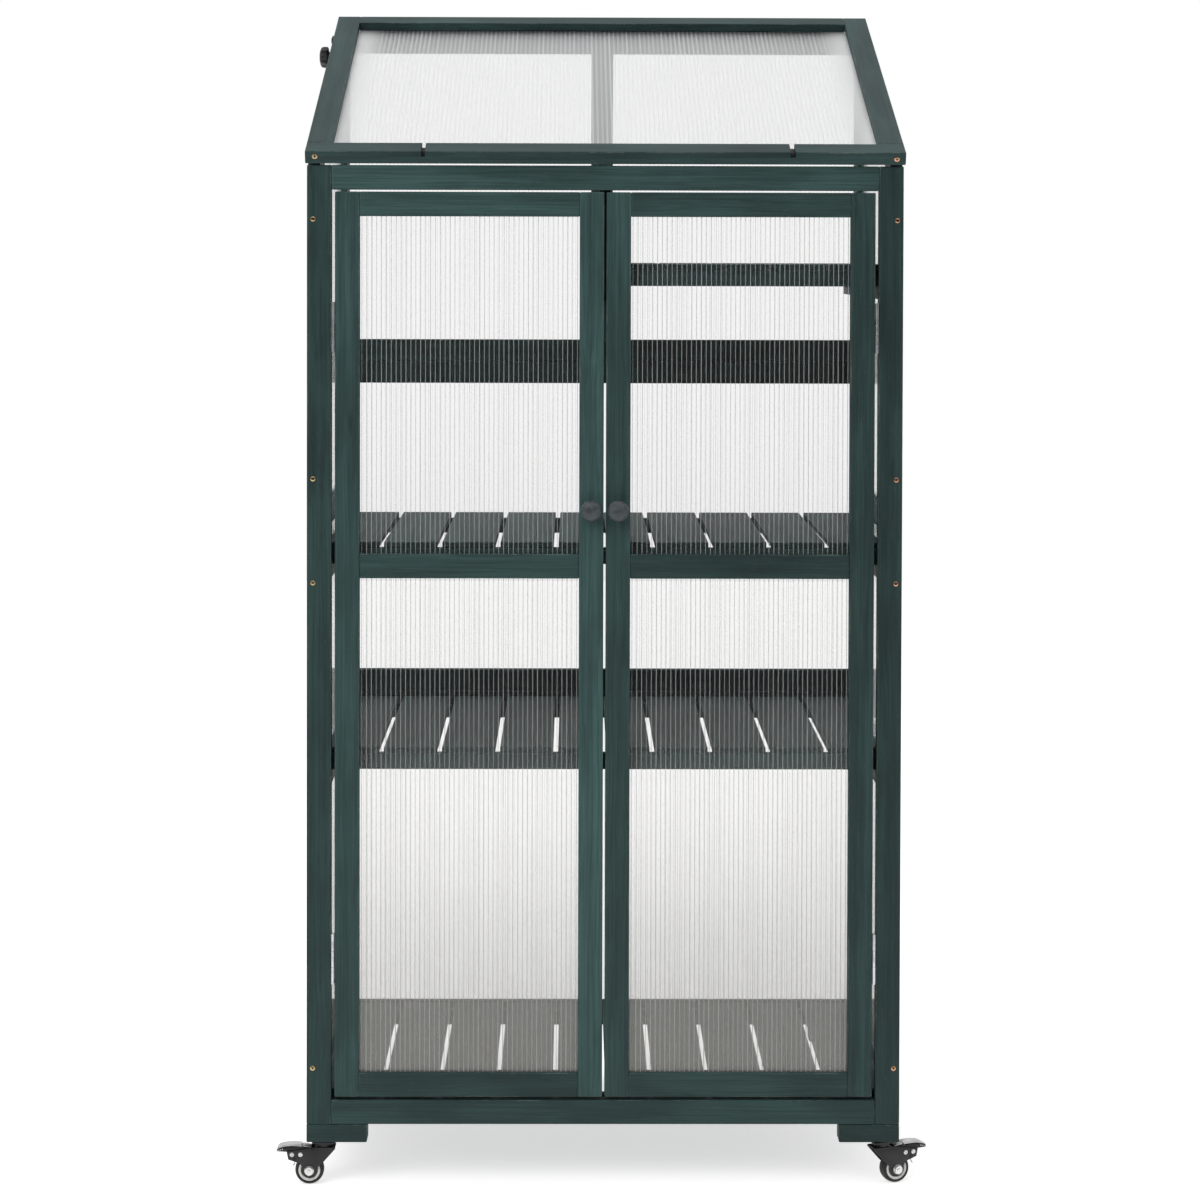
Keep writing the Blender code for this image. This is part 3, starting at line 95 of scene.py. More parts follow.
class Tree:
    """Short hand for wiring one node tree."""

    def __init__(self, tree: bpy.types.NodeTree) -> None:
        """Take a tree and empty it.

        Args:
            tree: The node tree to fill.
        """
        self.tree = tree
        tree.nodes.clear()

    def feed(self, socket: Socket, value: object) -> None:
        """Link a socket into another one, or set its constant.

        Args:
            socket: The input.
            value: An output socket, a number, or a tuple.
        """
        if isinstance(value, bpy.types.NodeSocket):
            self.tree.links.new(value, socket)
        elif socket.type == "RGBA" and len(value) == 3:
            socket.default_value = (*value, 1.0)
        else:
            socket.default_value = value

    def add(
        self, kind: str, inputs: dict[object, object] | None = None, **settings: object,
    ) -> bpy.types.Node:
        """Add a node.

        Args:
            kind: Its type without the ShaderNode prefix.
            inputs: Values or sockets by input name or index.
            settings: Properties of the node itself.

        Returns:
            The node.
        """
        node = self.tree.nodes.new(f"ShaderNode{kind}")
        for key, value in settings.items():
            setattr(node, key, value)
        for key, value in (inputs or {}).items():
            self.feed(node.inputs[key], value)
        return node

    def math(self, operation: str, first: object, second: object = 0.0, clamp: bool = False) -> Socket:
        """Combine two numbers.

        Args:
            operation: A Math node's operation.
            first: The first number or socket.
            second: The second number or socket.
            clamp: Whether to keep the result within 0 and 1.

        Returns:
            The result.
        """
        return self.add("Math", {0: first, 1: second}, operation=operation, use_clamp=clamp).outputs[0]

    def vector(self, operation: str, first: object, second: object) -> Socket:
        """Combine two vectors.

        Args:
            operation: A Vector Math node's operation.
            first: The first vector or socket.
            second: The second vector or socket.

        Returns:
            The resulting vector.
        """
        return self.add("VectorMath", {0: first, 1: second}, operation=operation).outputs[0]

    def noise(self, place: Socket, stretch: Colour, detail: float = 2.0) -> Socket:
        """Noise between 0 and 1 over stretched coordinates.

        Args:
            place: Coordinates in metres.
            stretch: Waves per metre along each axis.
            detail: Octaves of finer noise.

        Returns:
            The noise.
        """
        scaled = self.vector("MULTIPLY", place, stretch)
        return self.add("TexNoise", {"Vector": scaled, "Scale": 1.0, "Detail": detail}).outputs["Fac"]

    def smooth(self, value: Socket, low: float, high: float, to: Pair = (0.0, 1.0)) -> Socket:
        """A soft step between two values.

        Args:
            value: The number that steps.
            low: Where the step starts.
            high: Where it ends.
            to: Its two results.

        Returns:
            The stepped number.
        """
        inputs = {"Value": value, "From Min": low, "From Max": high, "To Min": to[0], "To Max": to[1]}
        return self.add("MapRange", inputs, interpolation_type="SMOOTHSTEP").outputs["Result"]

    def blend(self, factor: object, first: object, second: object, mode: str = "MIX") -> Socket:
        """Mix two colours.

        Args:
            factor: How much of the second one shows.
            first: The first colour or socket.
            second: The second colour or socket.
            mode: A Mix node's blend type.

        Returns:
            The mixed colour.
        """
        inputs = {0: factor, 6: first, 7: second}
        return self.add("Mix", inputs, data_type="RGBA", blend_type=mode).outputs[2]

    def between(self, mask: Socket, span: Pair) -> Socket:
        """A number that runs over a span as a mask runs from 0 to 1."""
        return self.math("ADD", self.math("MULTIPLY", mask, span[1] - span[0]), span[0])

    def cover(self, mask: Socket, amount: float, under: object, over: object) -> Socket:
        """Lay a colour over another where a mask is 1.

        Args:
            mask: Where the second colour lies.
            amount: How much of it shows there.
            under: The first colour or socket.
            over: The second colour or socket.

        Returns:
            The mixed colour.
        """
        return self.blend(self.math("MULTIPLY", mask, amount), under, over)

    def effect(self, effect: "Effect", inputs: dict[str, object]) -> bpy.types.Node:
        """Place an effect's node group, whose sockets come with its tree.

        Args:
            effect: The effect.
            inputs: Values or sockets by input name.

        Returns:
            The group node.
        """
        node = self.tree.nodes.new("ShaderNodeGroup")
        node.node_tree = effect.group()
        for key, value in inputs.items():
            self.feed(node.inputs[key], value)
        return node


# Effects that more than one finish uses


@dataclass(frozen=True)
class Effect:
    """A shader node group, built once and shared by the finishes.

    Attributes:
        title: The group's name.
        takes: Its inputs, of which Place is a vector and the others are numbers.
        gives: Its outputs, all numbers.
    """

    title: str = "effect"
    takes: tuple[str, ...] = ("Place",)
    gives: tuple[str, ...] = ()

    def wire(self, tree: Tree, given: dict[str, Socket]) -> dict[str, Socket]:
        """Build the effect.

        Args:
            tree: The group's tree.
            given: The group's inputs by name.

        Returns:
            The group's outputs by name.
        """
        raise NotImplementedError

    def group(self) -> bpy.types.NodeTree:
        """Build the effect's node group, or find it after its first use.

        Returns:
            The group's tree.
        """
        known = bpy.data.node_groups.get(self.title)
        if known:
            return known
        made = bpy.data.node_groups.new(self.title, "ShaderNodeTree")
        tree = Tree(made)
        for name in self.takes:
            kind = "NodeSocketVector" if name == "Place" else "NodeSocketFloat"
            made.interface.new_socket(name, in_out="INPUT", socket_type=kind)
        for name in self.gives:
            made.interface.new_socket(name, in_out="OUTPUT", socket_type="NodeSocketFloat")
        start = made.nodes.new("NodeGroupInput")
        given = {name: start.outputs[name] for name in self.takes}
        end = made.nodes.new("NodeGroupOutput")
        for name, socket in self.wire(tree, given).items():
            tree.feed(end.inputs[name], socket)
        return made


@dataclass(frozen=True)
class BoardGrain(Effect):
    """Fibres, growth bands, knots and specks along each board.

    Attributes:
        apart: Shift of the pattern from one board to the next.
        bend: How far the fibres wander from a straight line.
        knot_cells: Places for a knot in each metre, along and across.
        knotless: Share of those places without a knot.
        knot_reach: Distances from a knot's middle where it starts and where it is full.
    """

    title: str = "board grain"
    takes: tuple[str, ...] = ("Place", "Board")
    gives: tuple[str, ...] = ("Fibres", "Bands", "Knots", "Specks", "Clouds", "Marks", "Height")
    apart: Colour = (1.37, 0.53, 0.29)
    bend: float = 0.012
    knot_cells: Colour = (4.6, 17.0, 0.0)
    knotless: float = 0.52
    knot_reach: Pair = (0.13, 0.04)

    def wire(self, tree: Tree, given: dict[str, Socket]) -> dict[str, Socket]:
        """Build the effect.

        Args:
            tree: The group's tree.
            given: The group's inputs by name.

        Returns:
            The group's outputs by name.
        """
        shift = tree.vector("MULTIPLY", given["Board"], self.apart)
        place = tree.vector("ADD", given["Place"], shift)
        drift = tree.math("SUBTRACT", tree.noise(place, (5.0, 24.0, 24.0), 1.0), 0.5)
        wander = tree.vector("MULTIPLY", drift, (0.0, self.bend, self.bend))
        flowing = tree.vector("ADD", place, wander)
        fine = tree.noise(flowing, (16.0, 1500.0, 1500.0), 2.0)
        coarse = tree.noise(flowing, (5.0, 380.0, 380.0), 3.0)
        fibres = tree.math("ADD", tree.math("MULTIPLY", fine, 0.4), tree.math("MULTIPLY", coarse, 0.6))
        bands = tree.noise(flowing, (1.8, 95.0, 95.0), 2.0)
        across = tree.vector("MULTIPLY", place, self.knot_cells)
        cells = tree.add("TexVoronoi", {"Vector": across, "Scale": 1.0})
        draw = tree.add("SeparateColor", {0: cells.outputs["Color"]}).outputs[0]
        chosen = tree.math("GREATER_THAN", draw, self.knotless)
        ragged = tree.math("MULTIPLY", tree.noise(place, (60.0, 260.0, 260.0), 2.0), 0.05)
        reach = tree.math("ADD", cells.outputs["Distance"], ragged)
        knots = tree.math("MULTIPLY", tree.smooth(reach, *self.knot_reach), chosen)
        specks = tree.smooth(tree.noise(place, (110.0, 520.0, 520.0), 2.0), 0.66, 0.74)
        clouds = tree.noise(place, (7.0, 26.0, 26.0), 3.0)
        marks = tree.noise(place, (34.0, 900.0, 900.0), 2.0)
        height = tree.math("SUBTRACT", fibres, tree.math("MULTIPLY", knots, 0.25))
        return {
            "Fibres": tree.smooth(fibres, 0.36, 0.64),
            "Bands": tree.smooth(bands, 0.36, 0.66),
            "Knots": knots,
            "Specks": specks,
            "Clouds": tree.smooth(clouds, 0.34, 0.66),
            "Marks": tree.smooth(marks, 0.69, 0.78),
            "Height": height,
        }


@dataclass(frozen=True)
class RubbedEdges(Effect):
    """Patchy mask along the edges that hands and weather rub."""

    title: str = "rubbed edges"
    takes: tuple[str, ...] = ("Place", "Edge", "Amount")
    gives: tuple[str, ...] = ("Rubbed",)

    def wire(self, tree: Tree, given: dict[str, Socket]) -> dict[str, Socket]:
        """Build the effect.

        Args:
            tree: The group's tree.
            given: The group's inputs by name.

        Returns:
            The group's outputs by name.
        """
        patches = tree.noise(given["Place"], (9.0, 60.0, 60.0), 2.0)
        chips = tree.noise(given["Place"], (130.0, 500.0, 500.0), 2.0)
        rough = tree.math("ADD", tree.math("MULTIPLY", patches, 0.65), tree.math("MULTIPLY", chips, 0.35))
        reach = tree.math("MULTIPLY", tree.math("MAXIMUM", given["Edge"], 0.0), given["Amount"])
        return {"Rubbed": tree.smooth(tree.math("ADD", rough, reach), 0.86, 1.06)}


@dataclass(frozen=True)
class MetalPlay(Effect):
    """Uneven tone, spots and fine scratches of plated metal."""

    title: str = "metal play"
    gives: tuple[str, ...] = ("Cloud", "Scratch", "Spots")

    def wire(self, tree: Tree, given: dict[str, Socket]) -> dict[str, Socket]:
        """Build the effect.

        Args:
            tree: The group's tree.
            given: The group's inputs by name.

        Returns:
            The group's outputs by name.
        """
        cloud = tree.noise(given["Place"], (70.0, 70.0, 70.0), 3.0)
        lines = tree.noise(given["Place"], (90.0, 2600.0, 1100.0), 1.0)
        spots = tree.noise(given["Place"], (900.0, 900.0, 900.0), 1.0)
        return {
            "Cloud": tree.smooth(cloud, 0.35, 0.65),
            "Scratch": tree.smooth(lines, 0.62, 0.72),
            "Spots": tree.smooth(spots, 0.62, 0.74),
        }


@dataclass(frozen=True)
class MouldedSkin(Effect):
    """Fine texture and handling marks of moulded plastic and rubber."""

    title: str = "moulded skin"
    gives: tuple[str, ...] = ("Mottle", "Dust", "Height")

    def wire(self, tree: Tree, given: dict[str, Socket]) -> dict[str, Socket]:
        """Build the effect.

        Args:
            tree: The group's tree.
            given: The group's inputs by name.

        Returns:
            The group's outputs by name.
        """
        mottle = tree.noise(given["Place"], (160.0, 160.0, 160.0), 3.0)
        grit = tree.noise(given["Place"], (2400.0, 2400.0, 2400.0), 2.0)
        normal = tree.add("NewGeometry").outputs["Normal"]
        upward = tree.add("SeparateXYZ", {0: normal}).outputs["Z"]
        mottled = tree.smooth(mottle, 0.3, 0.7)
        settled_dust_and_shade = tree.math("MULTIPLY", tree.smooth(upward, 0.2, 0.95), mottled)
        return {"Mottle": mottled, "Dust": settled_dust_and_shade, "Height": grit}


@dataclass(frozen=True)
class Flutes(Effect):
    """Lines of a twin-wall sheet's webs, each a little different, and the dust in its channels.

    Attributes:
        strengths: Strengths of the faintest and the strongest line.
    """

    title: str = "flutes"
    takes: tuple[str, ...] = ("Across", "Along", "Width")
    gives: tuple[str, ...] = ("Line", "Film")
    strengths: Pair = (0.5, 1.0)

    def wire(self, tree: Tree, given: dict[str, Socket]) -> dict[str, Socket]:
        """Build the effect.

        Args:
            tree: The group's tree.
            given: The group's inputs by name.

        Returns:
            The group's outputs by name.
        """
        number = tree.math("ROUND", given["Across"])
        away = tree.math("ABSOLUTE", tree.math("SUBTRACT", given["Across"], number))
        reach = tree.math("SUBTRACT", given["Width"], away)
        line = tree.math("MULTIPLY", tree.math("DIVIDE", reach, given["Width"]), 2.0, clamp=True)
        own = tree.add("TexWhiteNoise", {"W": number}, noise_dimensions="1D").outputs["Value"]
        strength = tree.between(own, self.strengths)
        channel = tree.math("MULTIPLY", tree.math("FLOOR", given["Across"]), 3.7)
        spot = tree.add("CombineXYZ", {0: channel, 1: given["Along"]}).outputs[0]
        film = tree.noise(spot, (1.0, 7.0, 1.0), 3.0)
        return {"Line": tree.math("MULTIPLY", line, strength), "Film": tree.smooth(film, 0.3, 0.75)}


# Finishes


@dataclass(frozen=True)
class Finish:
    """A material of the greenhouse."""

    title: str
    colour: Colour

    def material(self) -> bpy.types.Material:
        """Build the finish's material, or find it after its first use.

        Returns:
            The material.
        """
        known = bpy.data.materials.get(self.title)
        if known:
            return known
        made = bpy.data.materials.new(self.title)
        made.use_nodes = True
        tree = Tree(made.node_tree)
        shader = tree.add("BsdfPrincipled")
        self.dress(tree, shader)
        output = tree.add("OutputMaterial")
        tree.feed(output.inputs["Surface"], shader.outputs[0])
        made.diffuse_color = (*self.colour, 1.0)
        return made

    def dress(self, tree: Tree, shader: bpy.types.Node) -> None:
        """Wire the finish into its shader.

        Args:
            tree: The material's tree.
            shader: Its Principled BSDF.
        """
        raise NotImplementedError


@dataclass(frozen=True)
class StainedTimber(Finish):
    """Semi-matte green stain on softwood boards, which lets the grain through.

    Attributes:
        deep: The stain's colour in hollows, knots and end grain.
        pale: Its colour where it is thin.
        rubbed: How far the edges are worn.
        fibres: Shares of the stain's own colour in hollows and on fibres.
        bands: Brightness of the darkest and the palest growth band.
        clouds: Brightness of the darkest and the palest cloud in the stain.
        knot: Cover of a knot.
        end: Cover of end grain.
        speck: Cover of a pale speck.
        mark: Cover of a handling mark.
        bare: Cover of a rubbed edge.
        roughness: Roughness of the hollows and of the fibres.
        relief: Height of the grain, in metres.
    """

    deep: Colour = (0.010, 0.024, 0.023)
    pale: Colour = (0.14, 0.19, 0.175)
    rubbed: float = 0.40
    fibres: Pair = (0.55, 1.0)
    bands: Pair = (0.84, 1.04)
    clouds: Pair = (0.82, 1.18)
    knot: float = 0.72
    end: float = 0.55
    speck: float = 0.12
    mark: float = 0.22
    bare: float = 0.5
    roughness: Pair = (0.54, 0.68)
    relief: float = 0.0004

    def dress(self, tree: Tree, shader: bpy.types.Node) -> None:
        """Wire the finish into its shader.

        Args:
            tree: The material's tree.
            shader: Its Principled BSDF.
        """
        place = tree.add("Attribute", attribute_name="grain").outputs["Vector"]
        board = tree.add("Attribute", attribute_name="board").outputs["Fac"]
        edge = tree.add("Attribute", attribute_name="edge").outputs["Fac"]
        # A board's tone is its stain's brightness, with painted light and shade where the builder gives it.
        tone = tree.add("Attribute", attribute_name="tone").outputs["Fac"]
        grain = tree.effect(BoardGrain(), {"Place": place, "Board": board}).outputs
        wear = {"Place": place, "Edge": edge, "Amount": self.rubbed}
        rubbed = tree.effect(RubbedEdges(), wear).outputs[0]
        stain = tree.blend(tree.smooth(grain["Fibres"], 0.0, 1.0, self.fibres), self.deep, self.colour)
        light = tree.between(grain["Bands"], self.bands)
        cloudy = tree.between(grain["Clouds"], self.clouds)
        shade = tree.math("MULTIPLY", tree.math("MULTIPLY", light, cloudy), tone)
        grey = tree.vector("MULTIPLY", shade, (1.0, 1.0, 1.0))
        stained = tree.blend(1.0, stain, grey, "MULTIPLY")
        knotted = tree.cover(grain["Knots"], self.knot, stained, self.deep)
        ends = tree.math("LESS_THAN", edge, -0.5)
        ended = tree.cover(ends, self.end, knotted, self.deep)
        speckled = tree.cover(grain["Specks"], self.speck, ended, self.pale)
        marked = tree.cover(grain["Marks"], self.mark, speckled, self.pale)
        tree.feed(shader.inputs["Base Color"], tree.cover(rubbed, self.bare, marked, self.pale))
        tree.feed(shader.inputs["Roughness"], tree.between(grain["Fibres"], self.roughness))
        tree.feed(shader.inputs["Specular IOR Level"], 0.30)
        bump = tree.add("Bump", {"Strength": 0.40, "Distance": self.relief, "Height": grain["Height"]})
        tree.feed(shader.inputs["Normal"], bump.outputs[0])


@dataclass(frozen=True)
class TwinWall(Finish):
    """Clear twin-wall plastic: two thin skins with webs between, and dust with painted shade low down.

    Attributes:
        webs: Whether this is the webs' finish and not the skins'.
        line: How strongly a web's root shows on the skin.
        line_width: Half the width of that line, in parts of the web pitch.
        haze: Cover of the skin itself.
        mirror: Share of the light that the surface mirrors, seen square on.
        grazing: What its cover gains at a grazing angle.
        low_dust_and_shade: Cover of the dust that settles at the bottom of the channels, with painted shade.
        dust_and_shade_span: Heights where that dust and painted shade start and where they are full, in
            metres.
        dust_and_shade_colour: Colour of the dust and painted shade.
        glint: Colour of what the surface mirrors.
        rim: Cover near the two edges along the flutes, painted light that stands for the light they scatter
            sideways.
        rim_webs: How many webs from such an edge that cover ends.
        roughness: How far the surface spreads what it mirrors.
    """

    webs: bool = False
    line: float = 0.42
    line_width: float = 0.10
    haze: float = 0.003
    mirror: float = 0.030
    grazing: float = 0.75
    # The dust low down also paints shade: the sheet grows greyer towards the bottom.
    low_dust_and_shade: float = 0.26
    dust_and_shade_span: Pair = (0.64, 0.08)
    dust_and_shade_colour: Colour = (0.44, 0.42, 0.38)
    glint: Colour = (0.96, 0.97, 0.97)
    rim: float = 0.0
    rim_webs: float = 8.0
    roughness: float = 0.12

    def dress(self, tree: Tree, shader: bpy.types.Node) -> None:
        """Wire the finish into its shader.

        Args:
            tree: The material's tree.
            shader: Its Principled BSDF.
        """
        across = tree.add("Attribute", attribute_name="across").outputs["Fac"]
        place = tree.add("TexCoord").outputs["Object"]
        along = tree.add("SeparateXYZ", {0: place}).outputs["Z"]
        given = {"Across": across, "Along": along, "Width": self.line_width}
        flutes = tree.effect(Flutes(), given).outputs
        facing = tree.add("LayerWeight", {"Blend": 0.5}).outputs["Facing"]
        rising = tree.math("MULTIPLY", tree.math("POWER", facing, 5.0), self.grazing)
        # Dust with painted shade: cover and grey tint grow towards the bottom of the sheet.
        settled_dust_and_shade = tree.smooth(along, *self.dust_and_shade_span, (0.0, self.low_dust_and_shade))
        film = tree.math("ADD", tree.math("MULTIPLY", flutes["Film"], self.haze), self.haze)
        # Painted light: a pale cover near the two edges along the flutes.
        if self.rim:
            last = tree.add("Attribute", attribute_name="last").outputs["Fac"]
            near = tree.math("MINIMUM", across, tree.math("SUBTRACT", last, across))
            film = tree.math("ADD", film, tree.smooth(near, self.rim_webs, 0.0, (0.0, self.rim)))
        if self.webs:
            glare = self.mirror
            clear = tree.math("ADD", film, rising)
        else:
            glare = tree.math("ADD", rising, self.mirror)
            clear = tree.math("MAXIMUM", tree.math("MULTIPLY", flutes["Line"], self.line), film)
        veil = tree.math("ADD", clear, settled_dust_and_shade)
        cover = tree.math("ADD", veil, glare, clamp=True)
        mirror = tree.math("DIVIDE", glare, cover, clamp=True)
        # Share of the veil that is dust and painted shade.
        dust = tree.math("DIVIDE", settled_dust_and_shade, veil, clamp=True)
        tinted = tree.blend(dust, self.colour, self.dust_and_shade_colour)
        tree.feed(shader.inputs["Base Color"], tree.blend(mirror, tinted, self.glint))
        tree.feed(shader.inputs["Metallic"], mirror)
        tree.feed(shader.inputs["Roughness"], self.roughness)
        tree.feed(shader.inputs["Alpha"], cover)


@dataclass(frozen=True)
class Metal(Finish):
    """Plated or solid metal with a worked surface.

    Attributes:
        dull: Its colour where it is tarnished.
        clouded: Cover of the soft tarnish.
        spotted: Cover of the spots.
        roughness: Roughness of its brightest and its dullest places.
        scratch: What a scratch adds to the roughness.
    """

    dull: Colour = (0.30, 0.30, 0.30)
    clouded: float = 0.30
    spotted: float = 0.35
    roughness: Pair = (0.22, 0.40)
    scratch: float = 0.12

    def dress(self, tree: Tree, shader: bpy.types.Node) -> None:
        """Wire the finish into its shader.

        Args:
            tree: The material's tree.
            shader: Its Principled BSDF.
        """
        place = tree.add("TexCoord").outputs["Object"]
        play = tree.effect(MetalPlay(), {"Place": place}).outputs
        clouded = tree.cover(play["Cloud"], self.clouded, self.colour, self.dull)
        tree.feed(shader.inputs["Base Color"], tree.cover(play["Spots"], self.spotted, clouded, self.dull))
        tree.feed(shader.inputs["Metallic"], 1.0)
        rough = tree.smooth(play["Cloud"], 0.0, 1.0, self.roughness)
        scratched = tree.math("MULTIPLY", play["Scratch"], self.scratch)
        tree.feed(shader.inputs["Roughness"], tree.math("ADD", rough, scratched))
        bump = tree.add("Bump", {"Strength": 0.12, "Distance": 0.0001, "Height": play["Scratch"]})
        tree.feed(shader.inputs["Normal"], bump.outputs[0])


@dataclass(frozen=True)
class Moulded(Finish):
    """Plastic, rubber or paint with a fine skin and a little dust on top.

    Attributes:
        dust_and_shade_colour: The dust's colour.
        mottled: Cover of the dust in the skin's hollows.
        dust: Cover of the dust on faces that look up.
        roughness: Roughness of its smoothest and its dullest places.
        grit: Strength of the skin's relief.
    """

    dust_and_shade_colour: Colour = (0.22, 0.22, 0.20)
    mottled: float = 0.22
    dust: float = 0.18
    roughness: Pair = (0.36, 0.52)
    grit: float = 0.25

    def dress(self, tree: Tree, shader: bpy.types.Node) -> None:
        """Wire the finish into its shader.

        Args:
            tree: The material's tree.
            shader: Its Principled BSDF.
        """
        place = tree.add("TexCoord").outputs["Object"]
        skin = tree.effect(MouldedSkin(), {"Place": place}).outputs
        mottled = tree.cover(skin["Mottle"], self.mottled, self.colour, self.dust_and_shade_colour)
        tree.feed(shader.inputs["Base Color"], tree.cover(skin["Dust"], self.dust, mottled, self.dust_and_shade_colour))
        tree.feed(shader.inputs["Roughness"], tree.smooth(skin["Mottle"], 0.0, 1.0, self.roughness))
        bump = tree.add("Bump", {"Strength": self.grit, "Distance": 0.0001, "Height": skin["Height"]})
        tree.feed(shader.inputs["Normal"], bump.outputs[0])


SOOT = (0.030, 0.030, 0.029)
BLACK = (0.009, 0.009, 0.010)


@dataclass(frozen=True)
class Finishes:
    """Every finish of the greenhouse."""

    timber: Finish = StainedTimber("stained timber", (0.036, 0.075, 0.072))
    door_timber: Finish = StainedTimber("stained door timber", (0.038, 0.079, 0.076))
    # The lid's stain is darker than the rest: painted shade on its top and front.
    lid_timber: Finish = StainedTimber("stained lid timber", (0.029, 0.061, 0.059))
    sheet: Finish = TwinWall("door sheet skins", (0.52, 0.53, 0.53))
    webs: Finish = TwinWall("door sheet webs", (0.62, 0.63, 0.63), webs=True, haze=0.07)
    # The wall sheets' low dust also paints shade towards their bottom.
    wall_sheet: Finish = TwinWall(
        "wall sheet skins", (0.52, 0.53, 0.53), line=0.12, mirror=0.024, low_dust_and_shade=0.16, dust_and_shade_span=(1.1, 0.08),
    )
    wall_webs: Finish = TwinWall(
        "wall sheet webs", (0.70, 0.71, 0.71), webs=True, haze=0.02, grazing=0.18,
    )
    # The lid sheet's rim cover is painted light near its side edges.
    lid_sheet: Finish = TwinWall(
        "lid sheet skins", (0.70, 0.71, 0.71), line=0.18, line_width=0.26, mirror=0.15, grazing=1.0,
        low_dust_and_shade=0.0, rim=0.40, roughness=0.45,
    )
    lid_webs: Finish = TwinWall(
        "lid sheet webs", (0.80, 0.81, 0.81), webs=True, haze=0.06, grazing=0.5, low_dust_and_shade=0.0,
    )
    hinge_steel: Finish = Metal("zinc-plated hinges", (0.60, 0.61, 0.62))
    bright_steel: Finish = Metal("bright fasteners", (0.72, 0.72, 0.72), roughness=(0.16, 0.30))
    grey_steel: Finish = Metal("grey pedal steel", (0.58, 0.58, 0.59), roughness=(0.24, 0.40))
    brass: Finish = Metal("brass screws", (0.62, 0.46, 0.24), dull=(0.24, 0.17, 0.10))
    copper: Finish = Metal("coppered screw", (0.60, 0.33, 0.20), dull=(0.22, 0.12, 0.08))
    # Black paint on steel, and painted shade on the floors of the screws' recesses.
    black_paint_and_shade: Finish = Moulded(
        "black paint and recess shade", (0.008, 0.008, 0.009), SOOT, roughness=(0.40, 0.54), grit=0.12,
    )
    plastic: Finish = Moulded("dark plastic", (0.030, 0.042, 0.051))
    black_plastic: Finish = Moulded("black plastic", BLACK, SOOT)
    pedal_plastic: Finish = Moulded("black pedal plastic", BLACK, SOOT, roughness=(0.26, 0.40), grit=0.1)
    ring_plastic: Finish = Moulded(
        "white wheel ring", (0.90, 0.90, 0.87), (0.72, 0.71, 0.67), roughness=(0.16, 0.26), grit=0.05,
    )
    rubber: Finish = Moulded(
        "wheel rubber", (0.010, 0.010, 0.011), SOOT, roughness=(0.55, 0.72), dust=0.3,
    )


# Shapes


@dataclass
class Rim:
    """A point of a board's cross-section.

    Attributes:
        width: Place across the board.
        depth: Place through it.
        inward: Direction into the timber, for softened ends.
        edge: 1 on a rounded edge and 0 away from it.
    """

    width: float
    depth: float
    inward: Pair
    edge: float


@dataclass
class Section:
    """A board's cross-section: corners in turn, each rounded or left square inside a groove."""

    corners: list[tuple[float, float, bool]]
    radius: float = 0.0011
    support: float = 0.0024

    def rims(self) -> list[Rim]:
        """Work out the cross-section's points.

        Returns:
            The points in turn, five for each rounded corner.
        """
        points = [Vector((width, depth)) for width, depth, _ in self.corners]
        count = len(points)
        rims = []
        for index, (_, _, soft) in enumerate(self.corners):
            here, before, after = points[index], points[index - 1], points[(index + 1) % count]
            came = (here - before).normalized()
            goes = (after - here).normalized()
            left_in = Vector((-came.y, came.x))
            left_out = Vector((-goes.y, goes.x))
            if not soft:
                inward = left_in + left_out
                rims.append(Rim(here.x, here.y, tuple(inward), 0.0))
                continue
            room_in = (here - before).length
            room_out = (after - here).length
            radius = min(self.radius, room_in * 0.3, room_out * 0.3)
            held_in = min(self.support, (room_in - 2 * radius) * 0.45)
            held_out = min(self.support, (room_out - 2 * radius) * 0.45)
            start = here - came * radius
            end = here + goes * radius
            middle = start * 0.25 + here * 0.5 + end * 0.25
            first = start - came * held_in
            last = end + goes * held_out
            rims.append(Rim(first.x, first.y, tuple(left_in), 0.0))
            rims.append(Rim(start.x, start.y, tuple(left_in), 1.0))
            rims.append(Rim(middle.x, middle.y, tuple((left_in + left_out) * 0.75), 1.0))
            rims.append(Rim(end.x, end.y, tuple(left_out), 1.0))
            rims.append(Rim(last.x, last.y, tuple(left_out), 0.0))
        return rims


def grooved(width: float, depth: float, low: bool, high: bool) -> Section:
    """A rectangular cross-section with a groove for a sheet in its edges.

    Args:
        width: The board's width.
        depth: Its thickness.
        low: Whether the edge at width 0 has a groove.
        high: Whether the edge at full width has one.

    Returns:
        The cross-section.
    """
    corners = [(0.0, 0.0, True), (width, 0.0, True)]
    if high:
        corners += [(width, GROOVE[0], False), (width - SEAT, GROOVE[0], False)]
        corners += [(width - SEAT, GROOVE[1], False), (width, GROOVE[1], False)]
    corners += [(width, depth, True), (0.0, depth, True)]
    if low:
        corners += [(0.0, GROOVE[1], False), (SEAT, GROOVE[1], False)]
        corners += [(SEAT, GROOVE[0], False), (0.0, GROOVE[0], False)]
    return Section(corners)


@dataclass(frozen=True)
class Cut:
    """Where a board ends, with the slopes of a bevelled end."""

    place: float
    per_width: float = 0.0
    per_depth: float = 0.0

    def at(self, width: float, depth: float) -> float:
        """Place of the end at a point of the cross-section."""
        return self.place + self.per_width * width + self.per_depth * depth


def axes(origin: Vector, along: Vector, across: Vector, through: Vector) -> Matrix:
    """Set up a piece's own axes.

    Args:
        origin: Where they start.
        along: The first one.
        across: The second one.
        through: The third one.

    Returns:
        The matrix from these axes to the model's frame.
    """
    matrix = Matrix((along, across, through)).transposed().to_4x4()
    matrix.translation = origin
    return matrix


def spread(index: int, low: float, high: float) -> float:
    """A number between two others that differs well from one board to the next."""
    return low + (high - low) * (index * 0.618 % 1.0)


